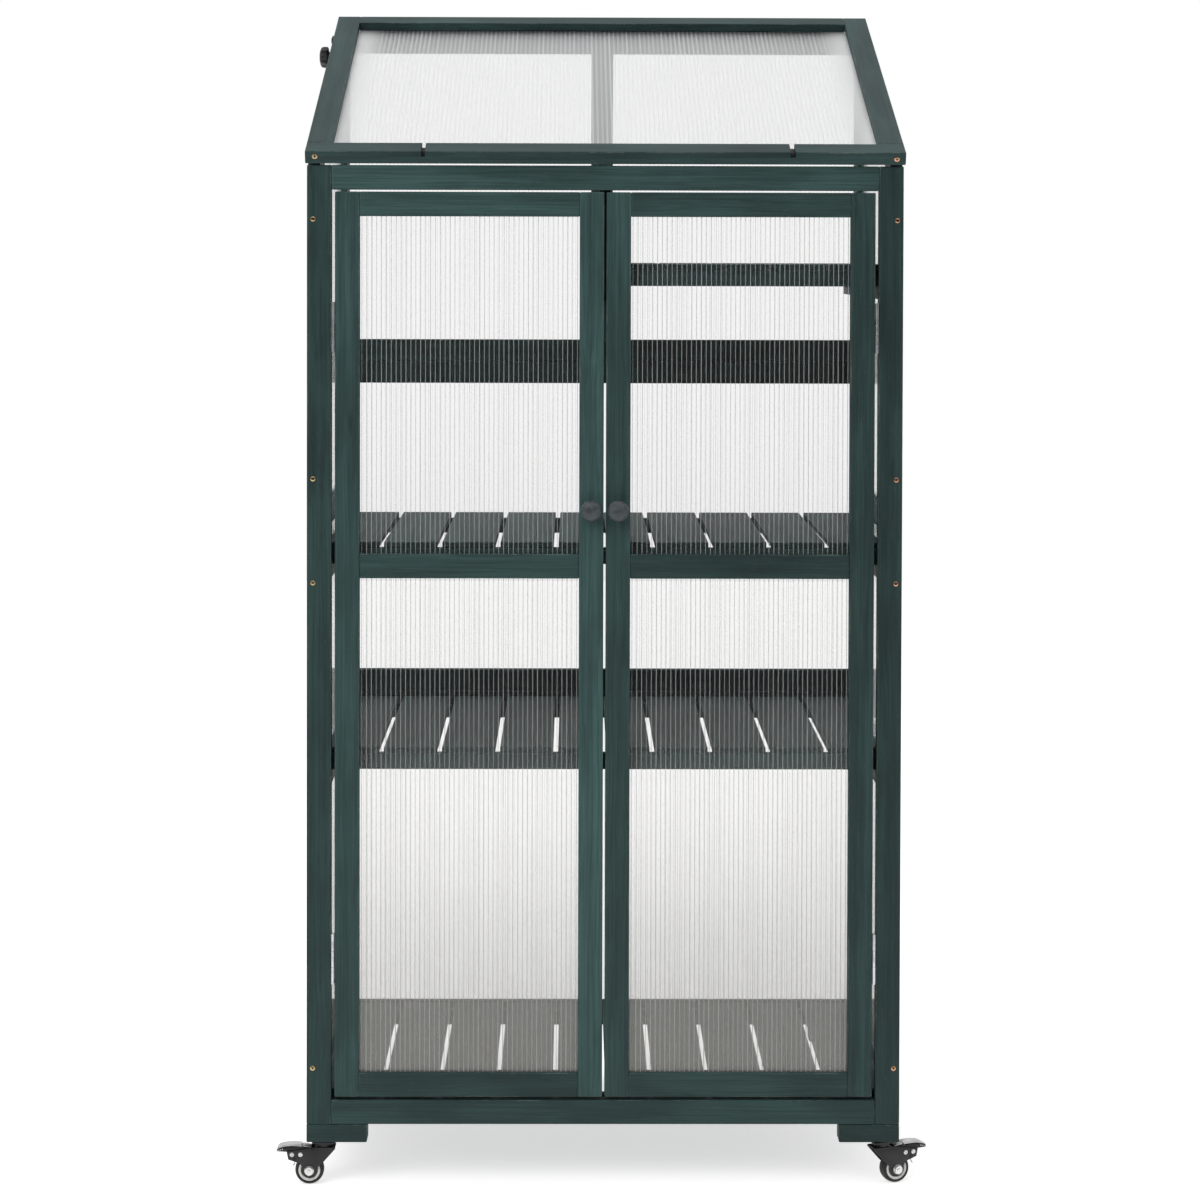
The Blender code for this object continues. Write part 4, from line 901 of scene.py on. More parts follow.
class Shape:
    """A mesh in the making, with what its finish reads stored on its corners."""

    boards_made = 0

    def __init__(self) -> None:
        """Start an empty mesh with its layers."""
        self.mesh = bmesh.new()
        layers = self.mesh.loops.layers
        self.grain = layers.float_vector.new("grain")
        self.board_number = layers.float.new("board")
        self.edge = layers.float.new("edge")
        self.across = layers.float.new("across")
        self.tone = layers.float.new("tone")
        self.last = layers.float.new("last")

    def board(
        self, matrix: Matrix, section: Section, start: Cut, end: Cut, tone: float | None = None,
    ) -> None:
        """Add a board with softened ends.

        Args:
            matrix: From along, across and through the board to the model's frame.
            section: The cross-section.
            start: The first end.
            end: The last end.
            tone: How pale its stain is, 1 being middling, which a given value also uses to paint light and
                shade, or None for one of its own.
        """
        Shape.boards_made += 1
        number = float(Shape.boards_made)
        if tone is None:
            tone = spread(Shape.boards_made, 0.86, 1.10)
        rims = section.rims()
        soft = section.radius
        steps = [(start, 0.0, 0.8), (start, soft, 0.0), (start, soft + section.support, 0.0)]
        steps += [(end, -soft - section.support, 0.0), (end, -soft, 0.0), (end, 0.0, 0.8)]
        flipped = matrix.to_3x3().determinant() < 0
        data = {}
        rings = []
        for cut, back, shrink in steps:
            ring = []
            for rim in rims:
                width = rim.width + rim.inward[0] * soft * shrink
                depth = rim.depth + rim.inward[1] * soft * shrink
                spot = Vector((cut.at(width, depth) + back, width, depth))
                vertex = self.mesh.verts.new(matrix @ spot)
                worn = 1.0 if abs(back) <= soft + 1e-9 else rim.edge
                data[vertex] = (spot, worn)
                ring.append(vertex)
            rings.append(ring)
        faces = []
        for lower, upper in zip(rings, rings[1:]):
            for index in range(len(rims)):
                after = (index + 1) % len(rims)
                faces.append((lower[index], lower[after], upper[after], upper[index]))
        if flipped:
            faces = [face[::-1] for face in faces]
        made = [self.mesh.faces.new(face) for face in faces]
        first, last = rings[0][::-1], rings[-1]
        if flipped:
            first, last = first[::-1], last[::-1]
        caps = [self.mesh.faces.new(first), self.mesh.faces.new(last)]
        for face in made + caps:
            for loop in face.loops:
                spot, worn = data[loop.vert]
                loop[self.grain] = spot
                loop[self.board_number] = number
                loop[self.tone] = tone
                loop[self.edge] = -1.0 if face in caps else worn

    def boxed(
        self, low: Vector, high: Vector, run: str, low_groove: bool = False, high_groove: bool = False,
        tone: float | None = None,
    ) -> None:
        """Add a straight board that fills a box.

        Args:
            low: The box's lowest corner.
            high: Its highest corner.
            run: The axis along the board, X, Y or Z.
            low_groove: Whether the edge on the low side holds a sheet.
            high_groove: Whether the edge on the high side does.
            tone: How pale its stain is, 1 being middling, which a given value also uses to paint light and
                shade, or None for one of its own.
        """
        units = {"X": Vector((1, 0, 0)), "Y": Vector((0, 1, 0)), "Z": Vector((0, 0, 1))}
        size = Vector(high) - Vector(low)
        others = sorted((axis for axis in "XYZ" if axis != run), key=lambda axis: -size["XYZ".index(axis)])
        across, through = others
        matrix = axes(Vector(low), units[run], units[across], units[through])
        width, depth = size["XYZ".index(across)], size["XYZ".index(through)]
        section = grooved(width, depth, low_groove, high_groove)
        self.board(matrix, section, Cut(0.0), Cut(size["XYZ".index(run)]), tone)

    def loft(self, rings: list[list[Vector]], joined: bool = False) -> list[Faces]:
        """Join rings of points with faces.

        Args:
            rings: Rings with the same number of points.
            joined: Whether the last ring joins the first one, and the ends aren't closed.

        Returns:
            The faces of each band in turn, and last those of the two ends.
        """
        made = [[self.mesh.verts.new(point) for point in ring] for ring in rings]
        pairs = list(zip(made, made[1:]))
        if joined:
            pairs.append((made[-1], made[0]))
        bands = []
        for lower, upper in pairs:
            band = []
            for index in range(len(lower)):
                after = (index + 1) % len(lower)
                band.append(self.mesh.faces.new((lower[index], lower[after], upper[after], upper[index])))
            bands.append(band)
        if not joined:
            bands.append([self.mesh.faces.new(made[0][::-1]), self.mesh.faces.new(made[-1])])
        return bands

    def turned(
        self, matrix: Matrix, profile: Iterable[Pair], sides: int = 48, joined: bool = False,
    ) -> list[Faces]:
        """Add a solid turned about local X.

        Args:
            matrix: From the solid's own axes to the model's frame.
            profile: Pairs of place along the axis and radius.
            sides: Points round the solid.
            joined: Whether the profile closes on itself, round a bore.

        Returns:
            The faces of each band in turn, and last those of the two ends.
        """
        rings = []
        for along, radius in profile:
            ring = []
            for index in range(sides):
                angle = 2 * math.pi * index / sides
                ring.append(matrix @ Vector((along, radius * math.cos(angle), radius * math.sin(angle))))
            rings.append(ring)
        return self.loft(rings, joined=joined)

    def plate(
        self, matrix: Matrix, outline: list[Pair], low: float, high: float, soft: float,
        hole: list[Pair] | None = None, number: int = 0,
    ) -> None:
        """Add a flat outline with softened rims.

        Args:
            matrix: From the outline's axes, with depth along local X, to the model's frame.
            outline: Pairs of the two other coordinates, in turn.
            low: Depth of one face.
            high: Depth of the other.
            soft: Radius of its rims.
            hole: Outline of an opening, point by point beside the outer one.
            number: The faces' material number.
        """
        shrunk = inset(outline, soft)
        near = inset(outline, soft * 0.3)
        levels = [(low, shrunk), (low + soft * 0.3, near), (low + soft, outline)]
        levels += [(high - soft, outline), (high - soft * 0.3, near), (high, shrunk)]
        if hole:
            levels += [(high, hole), (low, hole)]
        rings = []
        for depth, points in levels:
            rings.append([matrix @ Vector((depth, first, second)) for first, second in points])
        for band in self.loft(rings, joined=hole is not None):
            for face in band:
                face.material_index = number

    def crossed(self, matrix: Matrix, radius: float, height: float) -> None:
        """Add a screw head with a cross recess, its floor as material number 1, which paints the recess's
        shade.

        Args:
            matrix: From the head's own axes, X outwards from the timber, to the model's frame.
            radius: The head's radius.
            height: How far it stands proud.
        """
        sides = 48
        arm_reach = 0.62
        arm_half = 0.15
        rings = [[] for _ in range(6)]
        for index in range(sides):
            angle = 2 * math.pi * index / sides
            way = (math.cos(angle), math.sin(angle))
            folded = abs((angle + math.pi / 4) % (math.pi / 2) - math.pi / 4)
            arm = min(arm_reach / math.cos(folded), arm_half / max(math.sin(folded), 0.01)) * radius
            steps = ((0.0, radius), (height * 0.45, radius), (height * 0.85, radius * 0.86))
            steps += ((height, arm * 1.04 + radius * 0.03), (height * 0.8, arm), (0.0001, arm * 0.72))
            for ring_of, (along, reach) in zip(rings, steps):
                ring_of.append(matrix @ Vector((along, reach * way[0], reach * way[1])))
        bands = self.loft(rings)
        for face in bands[4] + bands[5][1:]:
            face.material_index = 1

    def tube(self, points: list[Vector], radius: float, sides: int = 8) -> None:
        """Add a wire along a line of points.

        Args:
            points: The wire's middle.
            radius: Its radius.
            sides: Points round it.
        """
        rings = []
        for index, here in enumerate(points):
            way = points[min(index + 1, len(points) - 1)] - points[max(index - 1, 0)]
            turn = way.to_track_quat("Z", "Y").to_matrix()
            circle = ring((0.0, 0.0), radius, 0.0, 360.0, sides)[:-1]
            rings.append([here + turn @ Vector((first, second, 0.0)) for first, second in circle])
        self.loft(rings)

    def finished(self, name: str, finishes: tuple[Finish, ...], angle: float) -> bpy.types.Object:
        """Turn the mesh into an object.

        Args:
            name: The object's name.
            finishes: Its finishes, in the order of the faces' material numbers.
            angle: Widest angle between faces that shade as one, in degrees.

        Returns:
            The object, linked into the scene.
        """
        bmesh.ops.recalc_face_normals(self.mesh, faces=self.mesh.faces)
        mesh = bpy.data.meshes.new(name)
        self.mesh.to_mesh(mesh)
        self.mesh.free()
        mesh.shade_smooth()
        mesh.set_sharp_from_angle(angle=math.radians(angle))
        for finish in finishes:
            mesh.materials.append(finish.material())
        made = bpy.data.objects.new(name, mesh)
        bpy.context.scene.collection.objects.link(made)
        return made


def inset(outline: list[Pair], distance: float) -> list[Pair]:
    """Move an outline's points inwards, square to its sides.

    Args:
        outline: Points in turn, counter-clockwise.
        distance: How far.

    Returns:
        The moved points.
    """
    moved = []
    for index, here in enumerate(outline):
        before = Vector(outline[index - 1])
        after = Vector(outline[(index + 1) % len(outline)])
        came = (Vector(here) - before).normalized()
        goes = (after - Vector(here)).normalized()
        inward = Vector((-came.y - goes.y, came.x + goes.x))
        length = max(inward.length, 0.2)
        reach = min(2 / length, 1.6) / length
        step = inward * reach * distance
        moved.append((here[0] + step.x, here[1] + step.y))
    return moved


def ring(centre: Pair, radius: float, start: float, end: float, steps: int) -> list[Pair]:
    """Points along an arc, its two ends included.

    Args:
        centre: The arc's middle.
        radius: Its radius.
        start: Angle of its first point, in degrees.
        end: Angle of its last point.
        steps: Stretches between the points.

    Returns:
        The points.
    """
    points = []
    for index in range(steps + 1):
        angle = math.radians(start + (end - start) * index / steps)
        points.append((centre[0] + radius * math.cos(angle), centre[1] + radius * math.sin(angle)))
    return points


# Sub-assemblies


@dataclass
class Assembly:
    """A sub-assembly that builds its pieces and hands them to the frame."""

    finishes: Finishes = field(default_factory=Finishes)
    pieces: list[str] = field(default_factory=list)

    def hand_over(
        self, shape: Shape, name: str, finish: Finish | tuple[Finish, ...], body: str, slot: Slot,
        stands_for: tuple[str, ...] = (), angle: float = 50.0,
    ) -> bpy.types.Object:
        # The right door's lower tones paint shade on it.
        """Finish a piece and let it ride on its body.

        Args:
            shape: The piece's mesh in the making.
            name: The piece's name.
            finish: Its finish, or several by material number.
            body: The body that it rides on.
            slot: The record's material slot; not used.
            stands_for: Nodes that it replaces.
            angle: Widest angle between faces that shade as one, in degrees.

        Returns:
            The piece.
        """
        finishes = finish if isinstance(finish, tuple) else (finish,)
        piece = shape.finished(name, finishes, angle)
        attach(piece, body)
        if stands_for:
            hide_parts(*stands_for)
        self.pieces.append(name)
        return piece

    def dress_node(self, node: str, finish: Finish, slot: Slot) -> None:
        """Give a carried-over node its finish.

        Args:
            node: The node's name.
            finish: Its finish.
            slot: The record's material slot; not used.
        """
        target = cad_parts[node]
        target.data.materials.clear()
        target.data.materials.append(finish.material())
        self.pieces.append(node)

    def build(self) -> None:
        """Build the sub-assembly's pieces."""
        raise NotImplementedError


def corner_box(x: Pair, y: Pair, z: Pair) -> tuple[Vector, Vector]:
    """Lowest and highest corner of a box, with y measured from the cabinet's front face."""
    return Vector((x[0], FRONT_FACE + y[0], z[0])), Vector((x[1], FRONT_FACE + y[1], z[1]))


def lid_underside(y: float, gap: float = FIT_GAP) -> float:
    """Height of the lid's underside.

    Args:
        y: Place from the cabinet's front face.
        gap: Clearance square to the lid.

    Returns:
        The height, less the clearance.
    """
    return LID_FOOT[1] + (y - LID_FOOT[0]) * math.tan(SLOPE) - gap / math.cos(SLOPE)


@dataclass
class Glazing:
    """A twin-wall sheet: two skins with webs between them, on its own axes."""

    pitch: float = 0.0064
    skin: float = 0.0002

    def shape(self, matrix: Matrix, width: float, length: Cut) -> Shape:
        """Build a sheet.

        Args:
            matrix: From along its flutes, across them and through it to the model's frame.
            width: Its size across the flutes.
            length: Its size along them.

        Returns:
            The sheet, with its webs as material number 1.
        """
        shape = Shape()
        for depth in (self.skin, SHEET_THICKNESS - self.skin):
            corners = [(0.0, 0.0), (length.at(0.0, 0.0), 0.0)]
            corners += [(length.at(width, 0.0), width), (0.0, width)]
            points = [matrix @ Vector((along, across, depth)) for along, across in corners]
            self.panel(shape, points, [across for _, across in corners], 0)
        count = int((width - 0.001) / self.pitch)
        margin = (width - count * self.pitch) / 2
        for index in range(count + 1):
            across = margin + index * self.pitch
            top = length.at(across, 0.0)
            corners = [(0.0, self.skin), (top, self.skin), (top, SHEET_THICKNESS - self.skin)]
            corners.append((0.0, SHEET_THICKNESS - self.skin))
            points = [matrix @ Vector((along, across, depth)) for along, depth in corners]
            self.panel(shape, points, [across] * 4, 1)
        for face in shape.mesh.faces:
            for loop in face.loops:
                loop[shape.across] = (loop[shape.across] - margin) / self.pitch
                loop[shape.last] = float(count)
        return shape

    def panel(self, shape: Shape, points: list[Vector], across: list[float], number: int) -> None:
        """Add one face of the sheet.

        Args:
            shape: The mesh in the making.
            points: The face's corners.
            across: Each corner's place across the flutes.
            number: Its material number.
        """
        face = shape.mesh.faces.new([shape.mesh.verts.new(point) for point in points])
        face.material_index = number
        for loop, place in zip(face.loops, across):
            loop[shape.across] = place


@dataclass
class FrontFrame(Assembly):
    """Two posts with a top and a bottom rail between them."""

    def build(self) -> None:
        """Build the four boards, each where its node is."""
        # These tones paint light and shade: the right post darker, the top rail lighter.
        for node, run, tone in (
            ("front_post_left", "Z", 0.83), ("front_post_right", "Z", 0.68),
            ("front_top_rail", "X", 1.25), ("front_bottom_rail", "X", 0.88),
        ):
            shape = Shape()
            low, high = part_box(node)
            shape.boxed(low, high, run, tone=tone)
            self.hand_over(shape, f"{node}_board", self.finishes.timber, "cabinet", Slot.TIMBER, (node,))


@dataclass
class Screws(Assembly):
    """The cross-head screws that show on the front frame and on the lid's front edge."""

    heights: tuple[float, ...] = (0.156, 0.7935, 0.9295, 1.2685)
    inset: float = 0.008
    radius: float = 0.0032
    proud: float = 0.0007
    lid_places: tuple[Pair, Pair] = ((-0.3782, 0.0128), (0.3791, 0.0113))
    lid_radius: float = 0.0035

    def build(self) -> None:
        """Build the screw heads of both posts and of the lid."""
        sides = (("left", -1, self.finishes.brass), ("right", 1, self.finishes.copper))
        for label, side, finish in sides:
            low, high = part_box(f"front_post_{label}")
            edge = low[0] if side < 0 else high[0]
            shape = Shape()
            for height in self.heights:
                place = Vector((edge - side * self.inset, low[1], height))
                matrix = axes(place, Vector((0, -1, 0)), Vector((1, 0, 0)), Vector((0, 0, 1)))
                turned = matrix @ Matrix.Rotation(height * 9.0, 4, "X")
                shape.crossed(turned, self.radius, self.proud)
            # Black paint on each recess floor paints its shade.
            metal_and_recess_shade = (finish, self.finishes.black_paint_and_shade)
            self.hand_over(shape, f"{label}_post_screws", metal_and_recess_shade, "cabinet", Slot.HINGE_STEEL, angle=40.0)
        lid = Lid()
        placed = lid.matrix()
        turned = placed.to_3x3()
        for (label, _, finish), (x, up) in zip(sides, self.lid_places):
            place = placed @ Vector((x, lid.front(), up))
            outward = axes(place, -turned.col[1], turned.col[0], turned.col[2])
            shape = Shape()
            shape.crossed(outward, self.lid_radius, self.proud)
            # Black paint on the recess floor paints its shade.
            metal_and_recess_shade = (finish, self.finishes.black_paint_and_shade)
            self.hand_over(shape, f"lid_{label}_screw", metal_and_recess_shade, "lid", Slot.HINGE_STEEL, angle=40.0)


@dataclass
class Door(Assembly):
    """A door's frame, batten, sheet and knob."""

    label: str = "left"
    side: int = -1
    batten_low: float = 0.7995
    batten_high: float = 0.8315
    batten_depth: Pair = (0.001, 0.0055)
    knob_height: float = 0.8895
    knob_inset: float = 0.0175
    knob_profile: tuple[Pair, ...] = (
        (0.0, 0.0078), (0.0004, 0.0081), (0.0012, 0.0081), (0.0026, 0.0071), (0.0048, 0.0062),
        (0.0076, 0.0060), (0.0096, 0.0066), (0.0112, 0.0082), (0.0124, 0.0104), (0.0138, 0.0124),
        (0.0156, 0.0136), (0.0176, 0.0140), (0.0196, 0.0136), (0.0216, 0.0123), (0.0234, 0.0101),
        (0.0248, 0.0071), (0.0256, 0.0040), (0.0259, 0.0014),
    )
    # Tones of the stiles, rails and batten, which paint light and shade: lighter in the middle, darker low
    # and to the right.
    tones_and_painted_light: tuple[float, ...] = (1.12, 1.38, 0.80, 1.08, 1.00)

    def build(self) -> None:
        """Build the frame's boards, the sheet and the knob."""
        node = f"{self.label}_door_frame"
        low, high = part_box(node)
        inner = (low[0] + STOCK, high[0] - STOCK)
        y = (low[1], high[1])
        bottom = low[2] + STOCK
        top = high[2] - STOCK
        boards = (
            (low, Vector((inner[0], y[1], high[2])), "Z", False, True),
            (Vector((inner[1], y[0], low[2])), high, "Z", True, False),
            (Vector((inner[0], y[0], low[2])), Vector((inner[1], y[1], bottom)), "X", False, True),
            (Vector((inner[0], y[0], top)), Vector((inner[1], y[1], high[2])), "X", True, False),
            (*corner_box(inner, self.batten_depth, (self.batten_low, self.batten_high)), "X", False, False),
        )
        shape = Shape()
        for board, tone in zip(boards, self.tones_and_painted_light):
            shape.boxed(*board, tone)
        body = f"{self.label}_door"
        name = f"{body}_boards"
        self.hand_over(shape, name, self.finishes.door_timber, body, Slot.DOOR_TIMBER, (node,))
        self.glaze(body)
        self.knob(body)

    def glaze(self, body: str) -> None:
        """Build the sheet in its groove.

        Args:
            body: The door's body.
        """
        node = f"{self.label}_door_sheet"
        low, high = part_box(node)
        matrix = axes(Vector(low), Vector((0, 0, 1)), Vector((1, 0, 0)), Vector((0, 1, 0)))
        shape = Glazing().shape(matrix, high[0] - low[0], Cut(high[2] - low[2]))
        finish = (self.finishes.sheet, self.finishes.webs)
        self.hand_over(shape, f"{self.label}_door_twinwall", finish, body, Slot.TWINWALL, (node,))

    def knob(self, body: str) -> None:
        """Build the turned knob.

        Args:
            body: The door's body.
        """
        node = f"{self.label}_door_knob"
        centre = Vector((self.side * self.knob_inset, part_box(node)[1][1], self.knob_height))
        matrix = axes(centre, Vector((0, -1, 0)), Vector((1, 0, 0)), Vector((0, 0, 1)))
        shape = Shape()
        shape.turned(matrix, self.knob_profile, 64)
        name = f"{self.label}_door_turned_knob"
        self.hand_over(shape, name, self.finishes.plastic, body, Slot.DARK_PLASTIC, (node,), 60.0)


@dataclass
class SideFrame(Assembly):
    """A side frame with its sloped top rail, its sheet and the shelf cleats."""

    label: str = "left"
    side: int = -1
    front: float = 0.0163
    rear: float = 0.5197
    bottom: float = 0.082
    outer: float = 0.389
    mid_low: float = 0.854
    cleat_tops: tuple[float, ...] = (0.0927, 0.5447, 0.8157)
    cleat_inset: float = 0.001

    def build(self) -> None:
        """Build the frame's boards and its sheet."""
        shape = Shape()
        inward = Vector((-self.side, 0, 0))
        slope = math.tan(SLOPE)
        fall = STOCK / math.cos(SLOPE)
        for start, low, high in ((self.front, False, True), (self.rear - STOCK, True, False)):
            matrix = axes(self.spot(start, self.bottom), Vector((0, 0, 1)), Vector((0, 1, 0)), inward)
            top = lid_underside(start) - fall - self.bottom
            shape.board(matrix, grooved(STOCK, THICKNESS, low, high), Cut(0.0), Cut(top, slope))
        along = Vector((0, math.cos(SLOPE), math.sin(SLOPE)))
        across = Vector((0, -math.sin(SLOPE), math.cos(SLOPE)))
        matrix = axes(self.spot(self.front, lid_underside(self.front) - fall), along, across, inward)
        reach = (self.rear - self.front) / math.cos(SLOPE)
        shape.board(matrix, grooved(STOCK, THICKNESS, True, False), Cut(0.0, slope), Cut(reach, slope))
        span = self.rear - self.front - 2 * STOCK
        for low_z, low, high in ((self.bottom, False, True), (self.mid_low, True, True)):
            origin = self.spot(self.front + STOCK, low_z)
            matrix = axes(origin, Vector((0, 1, 0)), Vector((0, 0, 1)), inward)
            shape.board(matrix, grooved(STOCK, THICKNESS, low, high), Cut(0.0), Cut(span))
        inner = self.outer - THICKNESS
        x = tuple(sorted((self.side * inner, self.side * (inner - THICKNESS))))
        y = (self.front + self.cleat_inset, self.rear - self.cleat_inset)
        for top in self.cleat_tops:
            z = (max(top - THICKNESS, self.bottom + self.cleat_inset), top)
            shape.boxed(*corner_box(x, y, z), "Y")
        node = f"{self.label}_side_frame"
        name = f"{self.label}_side_boards"
        self.hand_over(shape, name, self.finishes.timber, "cabinet", Slot.TIMBER, (node,))
        self.glaze(inward, slope)

    def spot(self, y: float, z: float) -> Vector:
        """A place on the frame's outer face."""
        return Vector((self.side * self.outer, FRONT_FACE + y, z))

    def glaze(self, inward: Vector, slope: float) -> None:
        """Build the sheet with its sloped top.

        Args:
            inward: Direction from the frame's outer face to its inner one.
            slope: Rise of the sheet's top for each unit to the rear.
        """
        node = f"{self.label}_side_sheet"
        low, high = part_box(node)
        seat = STOCK - SHEET_BITE
        origin = self.spot(self.front + seat, self.bottom + seat) + inward * SHEET_DEPTH
        matrix = axes(origin, Vector((0, 0, 1)), Vector((0, 1, 0)), inward)
        top = lid_underside(self.front + seat, FIT_GAP + seat) - self.bottom - seat
        shape = Glazing().shape(matrix, high[1] - low[1], Cut(top, slope))
        finish = (self.finishes.wall_sheet, self.finishes.wall_webs)
        self.hand_over(shape, f"{self.label}_side_twinwall", finish, "cabinet", Slot.TWINWALL, (node,))


@dataclass
class RearWall(Assembly):
    """The rear wall's two frames, the upper one bevelled to the lid's slope, with their sheets."""

    front: float = 0.520
    half: float = 0.389
    bottom: float = 0.082
    seam: float = 1.065
    mid_seam: float = 0.576
    stile: float = 0.016
    centre_half: float = 0.016
    # The rails' low tone paints the shade inside the cabinet on them.
    tone: float = 0.62

    def build(self) -> None:
        """Build both frames and both sheets."""
        inner = self.half - self.stile
        y = (self.front, self.front + THICKNESS)
        lower = Shape()
        self.stiles(lower, y, self.bottom, Cut(self.seam - FIT_GAP - self.bottom))
        rails = (
            (self.bottom, False, True), (self.mid_seam - STOCK, True, False),
            (self.mid_seam, False, True), (self.seam - FIT_GAP - STOCK, True, False),
        )
        for z, low, high in rails:
            lower.boxed(*corner_box((-inner, inner), y, (z, z + STOCK)), "X", low, high, self.tone)
        name = "rear_lower_boards"
        self.hand_over(lower, name, self.finishes.timber, "cabinet", Slot.TIMBER, ("rear_lower_frame",))
        upper = Shape()
        front_top = lid_underside(self.front)
        rear_top = lid_underside(self.front + THICKNESS)
        self.stiles(upper, y, self.seam, Cut(front_top - self.seam, 0.0, math.tan(SLOPE)))
        sill = corner_box((-inner, inner), y, (self.seam, self.seam + STOCK))
        upper.boxed(*sill, "X", False, True, self.tone)
        head = rear_top - STOCK
        middle = corner_box((-self.centre_half, self.centre_half), y, (self.seam + STOCK, head))
        upper.boxed(*middle, "Z", True, True)
        corners = [(0.0, 0.0, True), (front_top - head, 0.0, True), (STOCK, THICKNESS, True)]
        corners += [(0.0, THICKNESS, True), (0.0, GROOVE[1], False), (SEAT, GROOVE[1], False)]
        corners += [(SEAT, GROOVE[0], False), (0.0, GROOVE[0], False)]
        start = Vector((-inner, FRONT_FACE + self.front, head))
        matrix = axes(start, Vector((1, 0, 0)), Vector((0, 0, 1)), Vector((0, 1, 0)))
        upper.board(matrix, Section(corners), Cut(0.0), Cut(2 * inner))
        name = "rear_upper_boards"
        self.hand_over(upper, name, self.finishes.timber, "cabinet", Slot.TIMBER, ("rear_upper_frame",))
        for label in ("rear_lower", "rear_upper"):
            node = f"{label}_sheet"
            low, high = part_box(node)
            matrix = axes(Vector(low), Vector((0, 0, 1)), Vector((1, 0, 0)), Vector((0, 1, 0)))
            sheet = Glazing().shape(matrix, high[0] - low[0], Cut(high[2] - low[2]))
            finish = (self.finishes.wall_sheet, self.finishes.wall_webs)
            self.hand_over(sheet, f"{label}_twinwall", finish, "cabinet", Slot.TWINWALL, (node,))

    def stiles(self, shape: Shape, y: Pair, bottom: float, top: Cut) -> None:
        """Add the two outer stiles of a frame.

        Args:
            shape: The mesh in the making.
            y: Depths of the frame's two faces.
            bottom: Height of the frame's underside.
            top: Where the stiles end above it.
        """
        for x, low, high in ((-self.half, False, True), (self.half - self.stile, True, False)):
            origin = Vector((x, FRONT_FACE + y[0], bottom))
            matrix = axes(origin, Vector((0, 0, 1)), Vector((1, 0, 0)), Vector((0, 1, 0)))
            shape.board(matrix, grooved(self.stile, THICKNESS, low, high), Cut(0.0), top)


@dataclass
class Lid(Assembly):
    """The sloping lid: four rails rebated below round a sheet, notched in front."""

    width: float = 0.782
    length: float = 0.60118
    thickness: float = 0.017
    drop: float = 0.003
    front_rail: float = 0.035
    side_rail: float = 0.033
    rear_rail: float = 0.032
    rebate: float = 0.0053
    sheet_rise: float = 0.001
    hinge_axis: float = 0.5395
    notches: tuple[Pair, Pair] = ((-0.2375, 0.0048), (0.244, 0.0065))
    notch_depth: float = 0.007
    overshoot: float = 0.001

    def matrix(self) -> Matrix:
        """Set up the lid's own axes, about its hinge.

        Returns:
            The matrix from these axes to the model's frame.
        """
        height = lid_underside(self.hinge_axis, self.drop)
        axis = Vector((0.0, FRONT_FACE + self.hinge_axis, height))
        return Matrix.Translation(axis) @ Matrix.Rotation(SLOPE, 4, "X")

    def front(self) -> float:
        """Find the front edge.

        Returns:
            Its place on the lid's own Y axis.
        """
        back = self.hinge_axis - LID_FOOT[0]
        up = lid_underside(self.hinge_axis, self.drop) - LID_FOOT[1]
        return -back * math.cos(SLOPE) - up * math.sin(SLOPE)

    def build(self) -> None:
        """Build the boards and the sheet."""
        placed = self.matrix()
        front = self.front()
        half = self.width / 2
        shape = Shape()
        turned = placed.to_3x3()
        right, along, up = turned.col[0].copy(), turned.col[1].copy(), turned.col[2].copy()
        origin = placed @ Vector((-half, front, self.drop))
        rail = self.rebated(self.front_rail)
        shape.board(axes(origin, right, along, up), rail, Cut(0.0), Cut(self.width))
        span = self.length - self.front_rail
        for x, across in ((-half, right), (half, -right)):
            origin = placed @ Vector((x, front + self.front_rail, self.drop))
            rail = self.rebated(self.side_rail)
            shape.board(axes(origin, along, across, up), rail, Cut(0.0), Cut(span))
        inner = half - self.side_rail
        origin = placed @ Vector((-inner, front + self.length, self.drop))
        rail = self.rebated(self.rear_rail)
        shape.board(axes(origin, right, -along, up), rail, Cut(0.0), Cut(2 * inner))
        stain = self.finishes.lid_timber
        lid = self.hand_over(shape, "lid_boards", stain, "lid", Slot.LID_TIMBER, ("lid_frame",))
        cutter = Shape()
        top = self.drop + self.thickness
        for middle, wide in self.notches:
            low = Vector((middle - wide / 2, front - self.overshoot, top - self.notch_depth))
            rear = front + self.front_rail + self.overshoot
            high = Vector((middle + wide / 2, rear, top + 2 * self.overshoot))
            block = Matrix.LocRotScale((low + high) / 2, None, high - low)
            bmesh.ops.create_cube(cutter.mesh, size=1.0, matrix=placed @ block)
        carve(lid, cutter, stain)
        self.glaze(placed, front, inner)

    def rebated(self, width: float) -> Section:
        """Draw a rail's cross-section, rebated below at its inner edge.

        Args:
            width: The rail's width.

        Returns:
            The cross-section.
        """
        inner = width - SEAT
        corners = [(0.0, 0.0, True), (inner, 0.0, True), (inner, self.rebate, False)]
        corners += [(width, self.rebate, True), (width, self.thickness, True), (0.0, self.thickness, True)]
        return Section(corners)

    def glaze(self, placed: Matrix, front: float, inner: float) -> None:
        """Build the lid's sheet, its flutes running down the slope.

        Args:
            placed: From the lid's own axes to the model's frame.
            front: Place of the front edge.
            inner: Half the window's width.
        """
        reach = inner + SHEET_BITE
        low = Vector((-reach, front + self.front_rail - SHEET_BITE, self.drop + self.sheet_rise))
        length = self.length - self.front_rail - self.rear_rail + 2 * SHEET_BITE
        turned = placed.to_3x3()
        right, along, up = turned.col[0].copy(), turned.col[1].copy(), turned.col[2].copy()
        shape = Glazing().shape(axes(placed @ low, along, right, up), 2 * reach, Cut(length))
        finish = (self.finishes.lid_sheet, self.finishes.lid_webs)
        self.hand_over(shape, "lid_twinwall", finish, "lid", Slot.TWINWALL, ("lid_sheet",))


